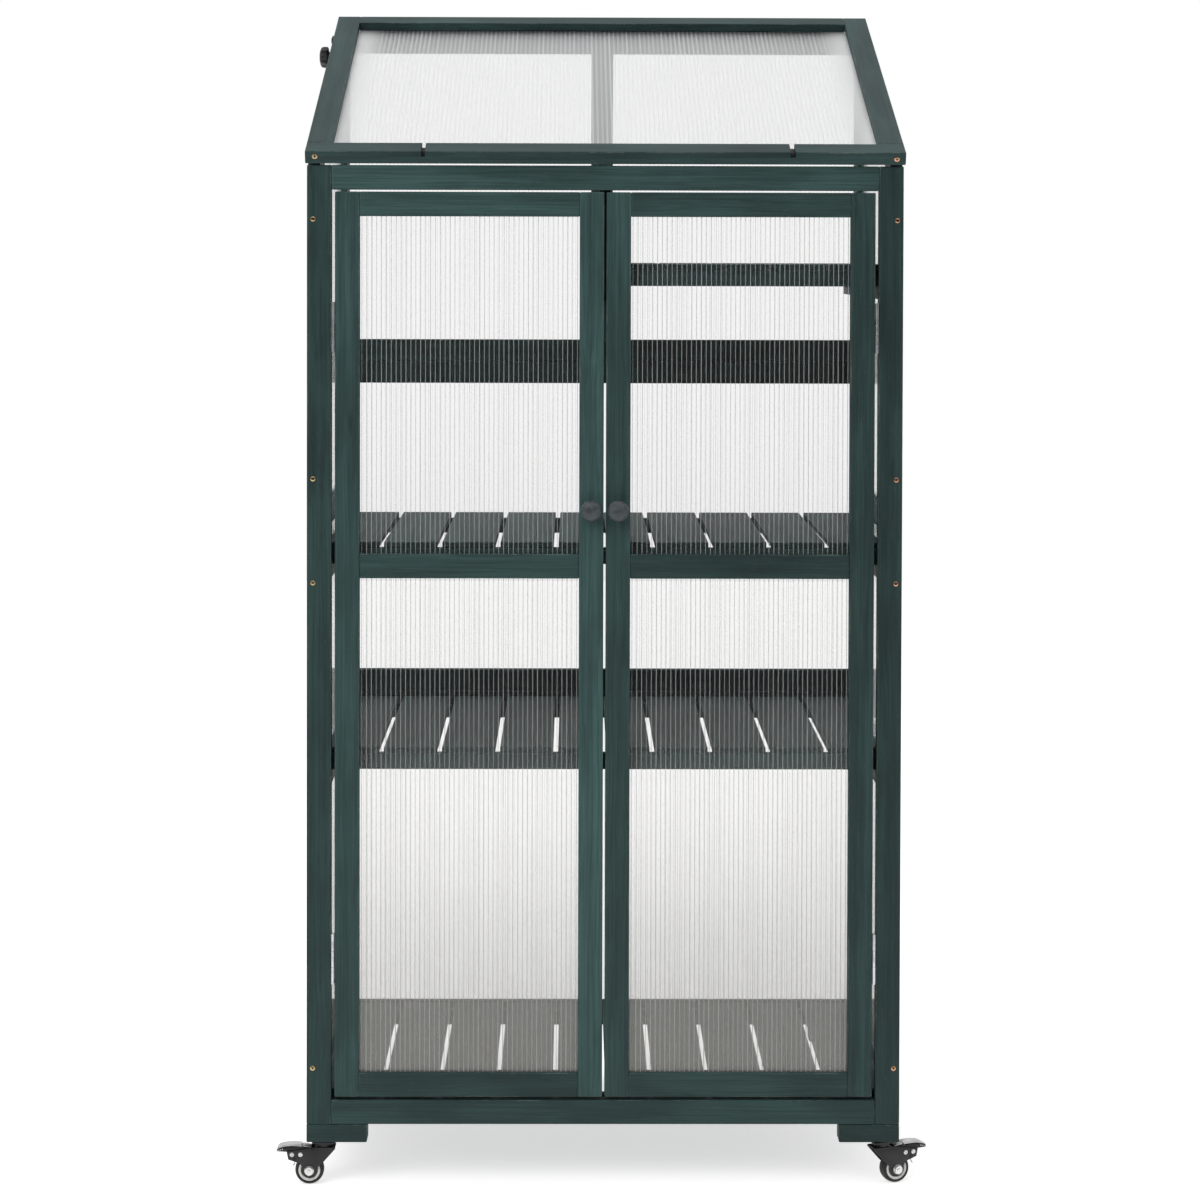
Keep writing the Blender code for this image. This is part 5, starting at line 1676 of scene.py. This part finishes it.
def carve(piece: bpy.types.Object, cutter: Shape, finish: Finish) -> None:
    """Cut a shape out of a piece for good.

    Args:
        piece: The piece, which keeps its name and its data.
        cutter: The shape to take away.
        finish: Any finish, for the cutter.
    """
    tool = cutter.finished("cutter", (finish,), 30.0)
    step = piece.modifiers.new("cut", "BOOLEAN")
    step.operation = "DIFFERENCE"
    step.solver = "EXACT"
    step.object = tool
    bpy.context.view_layer.update()
    graph = bpy.context.evaluated_depsgraph_get()
    mesh = bpy.data.meshes.new_from_object(piece.evaluated_get(graph), depsgraph=graph)
    piece.modifiers.clear()
    piece.data = mesh
    bpy.data.objects.remove(tool)


@dataclass
class Shelving(Assembly):
    """Slatted shelves on their rails, the half shelf's support and the door catch."""

    half: float = 0.36625
    depth: Pair = (0.026, 0.482)
    slat: float = 0.070
    gap: float = 0.0065
    slat_thickness: float = 0.008
    rail: Pair = (0.016, 0.021)
    rail_inset: float = 0.0005
    half_start: float = 0.00725
    tops: tuple[tuple[str, float], ...] = (
        ("floor_shelf", 0.122), ("lower_shelf", 0.574), ("middle_shelf", 0.845),
    )
    half_top: float = 1.211
    hanger: tuple[Pair, Pair, Pair] = ((-0.00805, 0.00695), (0.0163, 0.0323), (1.1597, 1.335))
    bearer: tuple[Pair, Pair, Pair] = ((-0.00905, 0.02395), (0.0323, 0.5197), (1.1657, 1.1817))
    # Low tones paint the shade inside the cabinet, darkest on the half shelf.
    tone: float = 0.80
    half_painted_shade: float = 0.60

    def build(self) -> None:
        """Build each shelf, then the support and the catch."""
        for node, top in self.tops:
            self.shelf(node, top, -self.half, 2, self.tone)
        self.shelf("half_shelf", self.half_top, self.half_start, 1, self.half_painted_shade)
        self.support()
        self.dress_node("door_catch", self.finishes.plastic, Slot.DARK_PLASTIC)

    def spans(self, start: float, middle_slats: int) -> list[Pair]:
        """Spans of a shelf's slats.

        Args:
            start: Where the shelf starts.
            middle_slats: How many slats share the rest in the middle.

        Returns:
            The spans, from left to right.
        """
        pitch = self.slat + self.gap
        total = self.half - start
        outer = int((total - self.slat / 2) / pitch / 2)
        spans = []
        for index in range(outer):
            spans.append((start + index * pitch, start + index * pitch + self.slat))
            spans.append((self.half - index * pitch - self.slat, self.half - index * pitch))
        rest = total - 2 * outer * pitch
        width = (rest - (middle_slats - 1) * self.gap) / middle_slats
        for index in range(middle_slats):
            low = start + outer * pitch + index * (width + self.gap)
            spans.append((low, low + width))
        return sorted(spans)

    def shelf(self, node: str, top: float, start: float, middle_slats: int, tone: float) -> None:
        """Build one shelf.

        Args:
            node: The node that it stands for.
            top: Height of its upper face.
            start: Where it starts on the left.
            middle_slats: How many slats share the rest in the middle.
            tone: How pale its stain is, lowered here to paint shade.
        """
        shape = Shape()
        under = top - self.slat_thickness
        front, rear = self.depth
        x = (start + self.rail_inset, self.half - self.rail_inset)
        z = (under - self.rail[1], under)
        for y in (front + self.rail_inset, rear - self.rail_inset - self.rail[0]):
            shape.boxed(*corner_box(x, (y, y + self.rail[0]), z), "X", tone=tone)
        for index, slat in enumerate(self.spans(start, middle_slats)):
            own = tone * spread(index, 0.90, 1.10)
            shape.boxed(*corner_box(slat, (front, rear), (under, top)), "Y", tone=own)
        self.hand_over(shape, f"{node}_boards", self.finishes.timber, "cabinet", Slot.TIMBER, (node,))

    def support(self) -> None:
        """Build the hanger and the bearer under the half shelf's inner end."""
        shape = Shape()
        shape.boxed(*corner_box(*self.hanger), "Z")
        shape.boxed(*corner_box(*self.bearer), "Y")
        node = "half_shelf_support"
        self.hand_over(shape, f"{node}_boards", self.finishes.timber, "cabinet", Slot.TIMBER, (node,))


@dataclass
class FootBlocks(Assembly):
    """The block under each corner that a castor is screwed to."""

    # Tones paint shade, darker on the right.
    tones_and_painted_light: tuple[tuple[str, float], ...] = (("left", 0.82), ("right", 0.58))

    def build(self) -> None:
        """Build the four blocks."""
        for row in ("front", "rear"):
            for label, tone in self.tones_and_painted_light:
                node = f"foot_block_{row}_{label}"
                low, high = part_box(node)
                shape = Shape()
                shape.boxed(low, high, "X", tone=tone)
                name = f"{node}_board"
                self.hand_over(shape, name, self.finishes.timber, "cabinet", Slot.TIMBER, (node,))


@dataclass
class Hinges(Assembly):
    """Finishes of the hinge leaves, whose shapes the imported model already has."""

    def build(self) -> None:
        """Dress every hinge leaf."""
        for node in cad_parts:
            if node.endswith("_leaf"):
                self.dress_node(node, self.finishes.hinge_steel, Slot.HINGE_STEEL)


@dataclass
class Stay(Assembly):
    """The lid's slotted stay and the star knob that clamps it."""

    pivot: Colour = (-0.3913, 0.200504, 1.532863)
    hang: Pair = (0.376, -0.9266)
    half_width: float = 0.00725
    tip: float = 0.10475
    slot_reach: Pair = (0.018, 0.1019)
    slot_half: float = 0.0031
    sheet: float = 0.002
    soft: float = 0.0004
    head: tuple[Pair, ...] = ((-0.0025, 0.0050), (-0.0031, 0.0044), (-0.0035, 0.0030), (-0.0036, 0.0012))
    knob_place: Colour = (-0.389, 0.209933, 1.509659)
    lobes: int = 5
    knob_profile: tuple[Colour, ...] = (
        (0.0120, 0.0025, 0.0), (-0.0003, 0.0025, 0.0), (-0.0003, 0.0060, 0.0), (-0.0020, 0.0060, 0.0),
        (-0.0021, 0.0025, 0.0), (-0.0046, 0.0025, 0.0), (-0.0046, 0.0070, 0.0), (-0.0050, 0.0075, 0.0),
        (-0.0098, 0.0078, 0.0), (-0.0102, 0.0110, 0.0012), (-0.0108, 0.0140, 0.0030),
        (-0.0120, 0.0156, 0.0042), (-0.0134, 0.0160, 0.0046), (-0.0180, 0.0160, 0.0046),
        (-0.0200, 0.0154, 0.0044), (-0.0216, 0.0138, 0.0034), (-0.0227, 0.0110, 0.0018),
        (-0.0233, 0.0076, 0.0006), (-0.0236, 0.0034, 0.0),
    )

    def build(self) -> None:
        """Build the arm and the knob."""
        down = Vector((0.0, *self.hang)).normalized()
        right = Vector((1.0, 0.0, 0.0))
        matrix = axes(Vector(self.pivot), right, right.cross(down), down)
        outline = ring((0.0, 0.0), self.half_width, 180.0, 360.0, 14)
        outline += ring((0.0, self.tip), self.half_width, 0.0, 180.0, 14)
        hole = ring((0.0, self.slot_reach[0]), self.slot_half, 180.0, 360.0, 14)
        hole += ring((0.0, self.slot_reach[1]), self.slot_half, 0.0, 180.0, 14)
        shape = Shape()
        shape.plate(matrix, outline, -self.sheet, 0.0, self.soft, hole)
        screw = [(0.0075, 0.002), (-self.sheet, 0.002), (-self.sheet, 0.005), *self.head]
        shape.turned(matrix, screw, 32)
        body = "stay_arm"
        paint = self.finishes.black_paint_and_shade
        self.hand_over(shape, "stay_slotted_arm", paint, body, Slot.BLACK_STEEL, (body,), 40.0)
        self.star_knob()

    def star_knob(self) -> None:
        """Build the knob from rings of place, radius and lobe depth: stud, collar, neck and lobes."""
        sides = 80
        rings = []
        for along, radius, depth in self.knob_profile:
            points = []
            for index in range(sides):
                angle = 2 * math.pi * index / sides
                reach = radius - depth * (0.5 - 0.5 * math.cos(self.lobes * angle))
                place = Vector((along, reach * math.cos(angle), reach * math.sin(angle)))
                points.append(Vector(self.knob_place) + place)
            rings.append(points)
        shape = Shape()
        shape.loft(rings)
        body = "star_knob"
        plastic = self.finishes.black_plastic
        self.hand_over(shape, "stay_star_knob", plastic, body, Slot.DARK_PLASTIC, (body,), 45.0)


@dataclass
class Castor(Assembly):
    """A swivel castor: plate with its race, pressed fork, ringed wheel and brake pedal.

    Attributes:
        label: The corner that it stands under.
        place: The kingpin's axis.
        turn: Direction in which the wheel trails, in degrees.
        plate_half: Half the plate's side.
        plate_corner: Radius of its corners.
        plate_heights: Heights of its two faces.
        race: Heights and radii of the kingpin and the race.
        axle: Trail and height of the wheel's axle.
        pivot: Trail and height of the pedal's pin.
        rivet: Trail and height of the rivet beside it.
        cheek: Inner and outer face of a cheek, from the middle.
        crown: The crown's two ends along the trail, without its rounding.
        crown_corner: Radius of that rounding.
        crown_heights: Heights of the crown's two faces.
        spring: Trails and heights along the brake's spring.
        wheel_profile: Places and radii from the wheel's bore to the middle of its tread.
        body: The pedal's body, from its pin.
        top: The bent steel on it.
        tab: The tab that the foot presses.
    """

    label: str = "front_left"
    place: Pair = (-0.3665, -0.24895)
    turn: float = 180.0
    plate_half: float = 0.0155
    plate_corner: float = 0.003
    plate_heights: Pair = (0.0557, 0.0577)
    race: tuple[Pair, ...] = (
        (0.0456, 0.0020), (0.0458, 0.0040), (0.0464, 0.0049), (0.0474, 0.0050), (0.0476, 0.0046),
        (0.0477, 0.0030), (0.0502, 0.0030), (0.0502, 0.0100), (0.0506, 0.0108), (0.0514, 0.0111),
        (0.0526, 0.0111), (0.0530, 0.0115), (0.0533, 0.0125), (0.0539, 0.0130), (0.0552, 0.0130),
        (0.0557, 0.0126),
    )
    axle: Pair = (0.0194, 0.019)
    pivot: Pair = (0.0419, 0.0405)
    rivet: Pair = (0.0308, 0.0405)
    cheek: Pair = (0.0095, 0.0115)
    crown: Pair = (-0.0122, 0.0092)
    crown_corner: float = 0.0024
    crown_heights: Pair = (0.0479, 0.0499)
    spring: tuple[Pair, ...] = (
        (0.0376, 0.0348), (0.0400, 0.0343), (0.0385, 0.0318), (0.0380, 0.0300), (0.0388, 0.0280),
        (0.0406, 0.0265),
    )
    wheel_profile: tuple[Pair, ...] = (
        (-0.0074, 0.0033), (-0.0074, 0.0070), (-0.0066, 0.0082), (-0.0060, 0.0100), (-0.0062, 0.0110),
        (-0.0076, 0.0113), (-0.0080, 0.0120), (-0.0080, 0.0138), (-0.0074, 0.0145), (-0.0080, 0.0148),
        (-0.0085, 0.0156), (-0.0084, 0.0164), (-0.0074, 0.0177), (-0.0056, 0.0185), (-0.0030, 0.0189),
        (0.0, 0.0190),
    )
    body: tuple[Pair, ...] = (
        (-0.0225, 0.0058), (-0.0100, 0.0040), (-0.0040, 0.0026), (-0.0030, -0.0024), (0.0, -0.0034),
        (0.0030, -0.0024), (0.0040, 0.0024), (0.0150, 0.0030), (0.0196, 0.0032), (0.0206, 0.0046),
        (0.0200, 0.0058), (0.0178, 0.0074), (0.0110, 0.0096), (0.0, 0.0104), (-0.0120, 0.0098),
        (-0.0236, 0.0066),
    )
    top: tuple[Pair, ...] = (
        (0.0198, 0.0074), (0.0178, 0.0090), (0.0150, 0.0101), (0.0110, 0.0112), (0.0060, 0.0119),
        (0.0, 0.0121), (-0.0060, 0.0119), (-0.0112, 0.0114), (-0.0124, 0.0112),
    )
    tab: tuple[Pair, ...] = ((-0.0134, 0.0110), (-0.0180, 0.0104), (-0.0244, 0.0089))

    def build(self) -> None:
        """Build the castor's pieces."""
        self.plate()
        self.fork()
        self.fasteners()
        self.wheel()
        self.pedal()

    def spot(self, x: float, z: float, along: str) -> Matrix:
        """Axes at a place over the trail line.

        Args:
            x: Place along the trail.
            z: Height.
            along: Local X points up for "up", and sideways for "side" with Y along the trail.

        Returns:
            The matrix to the model's frame.
        """
        base = Matrix.Translation((*self.place, 0.0)) @ Matrix.Rotation(math.radians(self.turn), 4, "Z")
        trail, side, up = Vector((1, 0, 0)), Vector((0, 1, 0)), Vector((0, 0, 1))
        if along == "up":
            return base @ axes(Vector((x, 0.0, z)), up, trail, side)
        return base @ axes(Vector((x, 0.0, z)), side, trail, up)

    def plate(self) -> None:
        """Build the screwed plate with the race and the kingpin."""
        corner = self.plate_half - self.plate_corner
        outline = []
        for start, x, y in ((0, 1, 1), (90, -1, 1), (180, -1, -1), (270, 1, -1)):
            outline += ring((x * corner, y * corner), self.plate_corner, start, start + 90, 5)
        upright = self.spot(0.0, 0.0, "up")
        shape = Shape()
        shape.plate(upright, outline, *self.plate_heights, 0.0005)
        shape.turned(upright, self.race, 48)
        name = f"castor_{self.label}_screwed_plate"
        node = f"castor_{self.label}_plate"
        self.hand_over(shape, name, self.finishes.black_paint_and_shade, "cabinet", Slot.BLACK_STEEL, (node,), 40.0)

    def fork(self) -> None:
        """Build the crown, the two cheeks and the brake's spring."""
        shape = Shape()
        inner, outer = self.cheek
        back, far = self.crown
        side = outer - 0.0022
        crown = []
        for start, x, y in ((0, far, side), (90, back, side), (180, back, -side), (270, far, -side)):
            crown += ring((x, y), self.crown_corner, start, start + 90, 4)
        bore = []
        for x, y in crown:
            angle = math.atan2(y, x)
            bore.append((0.0034 * math.cos(angle), 0.0034 * math.sin(angle)))
        shape.plate(self.spot(0.0, 0.0, "up"), crown, *self.crown_heights, 0.0008, bore)
        cheek = [(-0.0146, 0.0490), (-0.0147, 0.0478), (0.0019, 0.0292)]
        cheek += ring(self.axle, 0.0068, 180, 360, 16)
        cheek += [(0.0310, 0.0284), (0.0462, 0.0336), (0.0469, 0.0341), (0.0488, 0.0436), (0.0484, 0.0446)]
        cheek += [(0.0125, 0.0492), (0.0118, 0.0494)]
        upright = self.spot(0.0, 0.0, "side")
        shape.plate(upright, cheek, inner, outer, 0.0004)
        shape.plate(upright, cheek, -outer, -inner, 0.0004)
        for way in (-1, 1):
            y = way * (outer + 0.0005)
            shape.tube([upright @ Vector((y, x, z)) for x, z in self.spring], 0.00055)
        body = f"castor_{self.label}"
        node = f"castor_{self.label}_fork"
        name = f"castor_{self.label}_pressed_fork"
        self.hand_over(shape, name, self.finishes.black_paint_and_shade, body, Slot.BLACK_STEEL, (node,), 40.0)

    def fasteners(self) -> None:
        """Build the axle with its nuts and the rivets."""
        shape = Shape()
        outer = self.cheek[1]
        for half_turn in (math.pi, 0.0):
            facing = Matrix.Rotation(half_turn, 4, "Z")
            centre = self.spot(*self.axle, "side") @ facing
            washer = [(outer - 0.0004, 0.0020), (outer - 0.0004, 0.0062), (outer + 0.0003, 0.0062)]
            washer += [(outer + 0.0005, 0.0059), (outer + 0.0005, 0.0020)]
            shape.turned(centre, washer, 32)
            rings = []
            steps = ((0.0003, 0.0070), (0.0010, 0.0070), (0.0032, 0.0070), (0.0038, 0.0053), (0.0038, 0.0030))
            for along, cap in steps:
                points = []
                for degrees in range(0, 360, 10):
                    folded = math.radians((degrees + 30) % 60 - 30)
                    reach = min(0.005 / math.cos(folded), cap)
                    angle = math.radians(degrees)
                    spot = Vector((outer + along, reach * math.cos(angle), reach * math.sin(angle)))
                    points.append(centre @ spot)
                rings.append(points)
            shape.loft(rings)
            bolt = [(-0.0020, 0.0027), (0.0044, 0.0027), (0.0049, 0.0022), (0.0051, 0.0010)]
            shape.turned(centre, [(outer + along, radius) for along, radius in bolt], 24)
            head = [(-0.0005, 0.0020), (0.0, 0.0029), (0.0006, 0.0029), (0.0010, 0.0024)]
            head += [(0.0012, 0.0017), (0.0010, 0.0010), (0.0004, 0.0008)]
            for x, z in (self.pivot, self.rivet):
                pin = self.spot(x, z, "side") @ facing
                shape.turned(pin, [(outer + along, radius) for along, radius in head], 24)
        body = f"castor_{self.label}"
        name = f"{body}_fasteners"
        self.hand_over(shape, name, self.finishes.bright_steel, body, Slot.HINGE_STEEL, (), 35.0)

    def wheel(self) -> None:
        """Build the wheel: hub, white ring and crowned tyre round a bore."""
        half = list(self.wheel_profile)
        profile = half + [(-along, radius) for along, radius in half[-2::-1]]
        shape = Shape()
        bands = shape.turned(self.spot(*self.axle, "side"), profile, 56, joined=True)
        last = len(bands) - 2
        for index, band in enumerate(bands[:-1]):
            step = min(index, last - index)
            number = 2 if step < 4 else 1 if step < 8 else 0
            for face in band:
                face.material_index = number
        for face in bands[-1]:
            face.material_index = 2
        finishes = (self.finishes.rubber, self.finishes.ring_plastic, self.finishes.pedal_plastic)
        node = f"castor_{self.label}_wheel"
        body = f"wheel_{self.label}"
        self.hand_over(shape, f"{node}_ringed", finishes, body, Slot.WHEEL_RUBBER, (node,), 40.0)

    def pedal(self) -> None:
        """Build the brake pedal: moulded body, bent steel top, pivot pin and grip bumps."""
        matrix = self.spot(*self.pivot, "side")
        shape = Shape()
        shape.plate(matrix, list(self.body), -0.0085, 0.0085, 0.0006)
        for points, half in ((self.top, 0.0088), (self.tab, 0.0070)):
            under = [(x, z - 0.0015) for x, z in points[::-1]]
            shape.plate(matrix, [*under, *points], -half, half, 0.0004, number=1)
        pin = [(-0.0112, 0.0008), (-0.0112, 0.0016), (0.0112, 0.0016), (0.0112, 0.0008)]
        shape.turned(matrix, pin, 20)
        for way in (-1, 1):
            for x in (0.0128, 0.0156, 0.0184):
                place = matrix @ Vector((way * 0.0083, x, 0.0062 - (x - 0.0128) * 0.25))
                dome = [(0.0, 0.0009), (0.0003, 0.0009), (0.0006, 0.0006), (0.0007, 0.0002)]
                for band in shape.turned(axes(place, *self.outward(matrix, way)), dome, 12):
                    for face in band:
                        face.material_index = 1
        node = f"castor_{self.label}_pedal"
        finishes = (self.finishes.pedal_plastic, self.finishes.grey_steel)
        body = f"pedal_{self.label}"
        self.hand_over(shape, f"{node}_bent", finishes, body, Slot.PEDAL_PLASTIC, (node,), 35.0)

    def outward(self, matrix: Matrix, way: int) -> tuple[Vector, Vector, Vector]:
        """Three axes of which the first points out of one side of the castor."""
        turned = matrix.to_3x3()
        return turned.col[0] * way, turned.col[1].copy(), turned.col[2] * way


@dataclass
class Studio:
    """Camera, floor and lights."""

    eye: Colour = (-0.03989, -4.17519, 1.22510)
    yaw: float = -0.00845
    pitch: float = -0.02296
    roll: float = -0.00269
    lens: float = 89.965
    sensor: float = 36.0
    shift: float = -0.23171
    sky: float = 0.62
    dark_side: float = 0.93
    mirrored: float = 0.9
    floor_glow: float = 0.62

    def build(self) -> None:
        """Set up the view, then what lights and carries the object."""
        scene = bpy.context.scene
        scene.view_settings.view_transform = "Standard"
        scene.cycles.transparent_max_bounces = 40
        scene.cycles.max_bounces = 8
        self.camera(scene)
        self.world(scene)
        self.floor()
        self.lamp("key_softbox", (-1.7, -2.9, 2.9), (-0.1, 0.0, 1.0), 2.2, 56.0)
        self.lamp("fill_softbox", (2.6, -2.6, 2.2), (0.0, 0.0, 0.7), 2.4, 8.0)
        self.lamp("top_softbox", (0.0, 0.9, 3.8), (0.0, 0.0, 1.2), 2.6, 30.0)

    def camera(self, scene: bpy.types.Scene) -> None:
        """Place the camera at the photograph's viewing angle.

        Args:
            scene: The scene that looks through it.
        """
        data = bpy.data.cameras.new("camera")
        data.lens = self.lens
        data.sensor_width = self.sensor
        data.shift_y = self.shift
        data.clip_end = 50.0
        made = bpy.data.objects.new("camera", data)
        turn = Matrix.Rotation(self.yaw, 3, "Z") @ Matrix.Rotation(self.pitch, 3, "X")
        turn = turn @ Matrix.Rotation(self.roll, 3, "Y")
        made.matrix_world = axes(Vector(self.eye), turn.col[0], turn.col[2], -turn.col[1])
        scene.collection.objects.link(made)
        scene.camera = made

    def world(self, scene: bpy.types.Scene) -> None:
        """Surround the scene with pale studio light, white behind the object.

        Args:
            scene: The scene.
        """
        world = bpy.data.worlds.new("studio")
        world.use_nodes = True
        tree = Tree(world.node_tree)
        way = tree.add("SeparateXYZ", {0: tree.add("TexCoord").outputs["Generated"]}).outputs
        front = tree.smooth(way["Y"], -0.25, -0.85)
        dark = tree.math("MULTIPLY", front, tree.smooth(way["Z"], 0.55, 0.20))
        lit = tree.math("SUBTRACT", 1.0, tree.math("MULTIPLY", dark, self.dark_side))
        level = tree.math("MULTIPLY", lit, self.sky)
        seen = tree.add("LightPath").outputs
        glossy = tree.math("MULTIPLY", seen["Is Glossy Ray"], tree.math("SUBTRACT", 1.0, dark))
        white = tree.math("MAXIMUM", seen["Is Camera Ray"], tree.math("MULTIPLY", glossy, self.mirrored))
        strength = tree.math("MAXIMUM", level, white)
        shade = tree.add("Background", {"Color": (1.0, 1.0, 1.0), "Strength": strength})
        output = tree.add("OutputWorld")
        tree.feed(output.inputs["Surface"], shade.outputs[0])
        scene.world = world

    def floor(self) -> None:
        """Lay a pale floor that keeps the object's shadow."""
        mesh = bpy.data.meshes.new("floor")
        corners = [(-6.0, -3.4, 0.0), (6.0, -3.4, 0.0), (6.0, 7.0, 0.0), (-6.0, 7.0, 0.0)]
        mesh.from_pydata(corners, [], [(0, 1, 2, 3)])
        made = bpy.data.objects.new("floor", mesh)
        bpy.context.scene.collection.objects.link(made)
        material = bpy.data.materials.new("pale floor")
        material.use_nodes = True
        tree = Tree(material.node_tree)
        place = tree.add("TexCoord").outputs["Object"]
        tone = tree.blend(tree.noise(place, (3.0, 3.0, 3.0), 3.0), (0.80, 0.80, 0.79), (0.84, 0.84, 0.83))
        seen = tree.add("LightPath").outputs
        bright = tree.math("MAXIMUM", seen["Is Camera Ray"], seen["Is Glossy Ray"])
        shader = tree.add("BsdfPrincipled", {"Base Color": tone, "Roughness": 0.95})
        tree.feed(shader.inputs["Specular IOR Level"], 0.1)
        tree.feed(shader.inputs["Emission Color"], (1.0, 1.0, 1.0))
        tree.feed(shader.inputs["Emission Strength"], tree.math("MULTIPLY", bright, self.floor_glow))
        output = tree.add("OutputMaterial")
        tree.feed(output.inputs["Surface"], shader.outputs[0])
        mesh.materials.append(material)

    def lamp(self, name: str, place: Colour, target: Colour, size: float, power: float) -> None:
        """Hang a softbox.

        Args:
            name: The lamp's name.
            place: Where it hangs.
            target: What it faces.
            size: Its side.
            power: Its power in watts.
        """
        data = bpy.data.lights.new(name, "AREA")
        data.shape = "SQUARE"
        data.size = size
        data.energy = power
        made = bpy.data.objects.new(name, data)
        made.location = place
        made.rotation_euler = (Vector(target) - Vector(place)).to_track_quat("-Z", "Y").to_euler()
        made.visible_glossy = False
        bpy.context.scene.collection.objects.link(made)


def main() -> None:
    """Build the greenhouse and its studio."""
    logging.basicConfig(level=logging.INFO, format="%(message)s")
    Studio().build()
    assemblies: list[Assembly] = [
        FrontFrame(),
        Door(label="left", side=-1),
        Door(label="right", side=1, tones_and_painted_light=(1.03, 0.81, 0.85, 1.00, 0.66)),
        SideFrame(label="left", side=-1),
        SideFrame(label="right", side=1, cleat_tops=(0.0927, 0.5447, 0.8157, 1.1817)),
        RearWall(),
        Lid(),
        Shelving(),
        FootBlocks(),
        Hinges(),
        Stay(),
        Screws(),
        Castor(),
        Castor(label="front_right", place=(0.3665, -0.24895), turn=20.0),
        Castor(label="rear_left", place=(-0.3665, 0.25505), turn=180.0),
        Castor(label="rear_right", place=(0.3665, 0.25505), turn=0.0),
    ]
    for assembly in assemblies:
        assembly.build()
        for piece in assembly.pieces:
            LOG.info("%s: %s", type(assembly).__name__, piece)


if __name__ == "__main__":
    main()
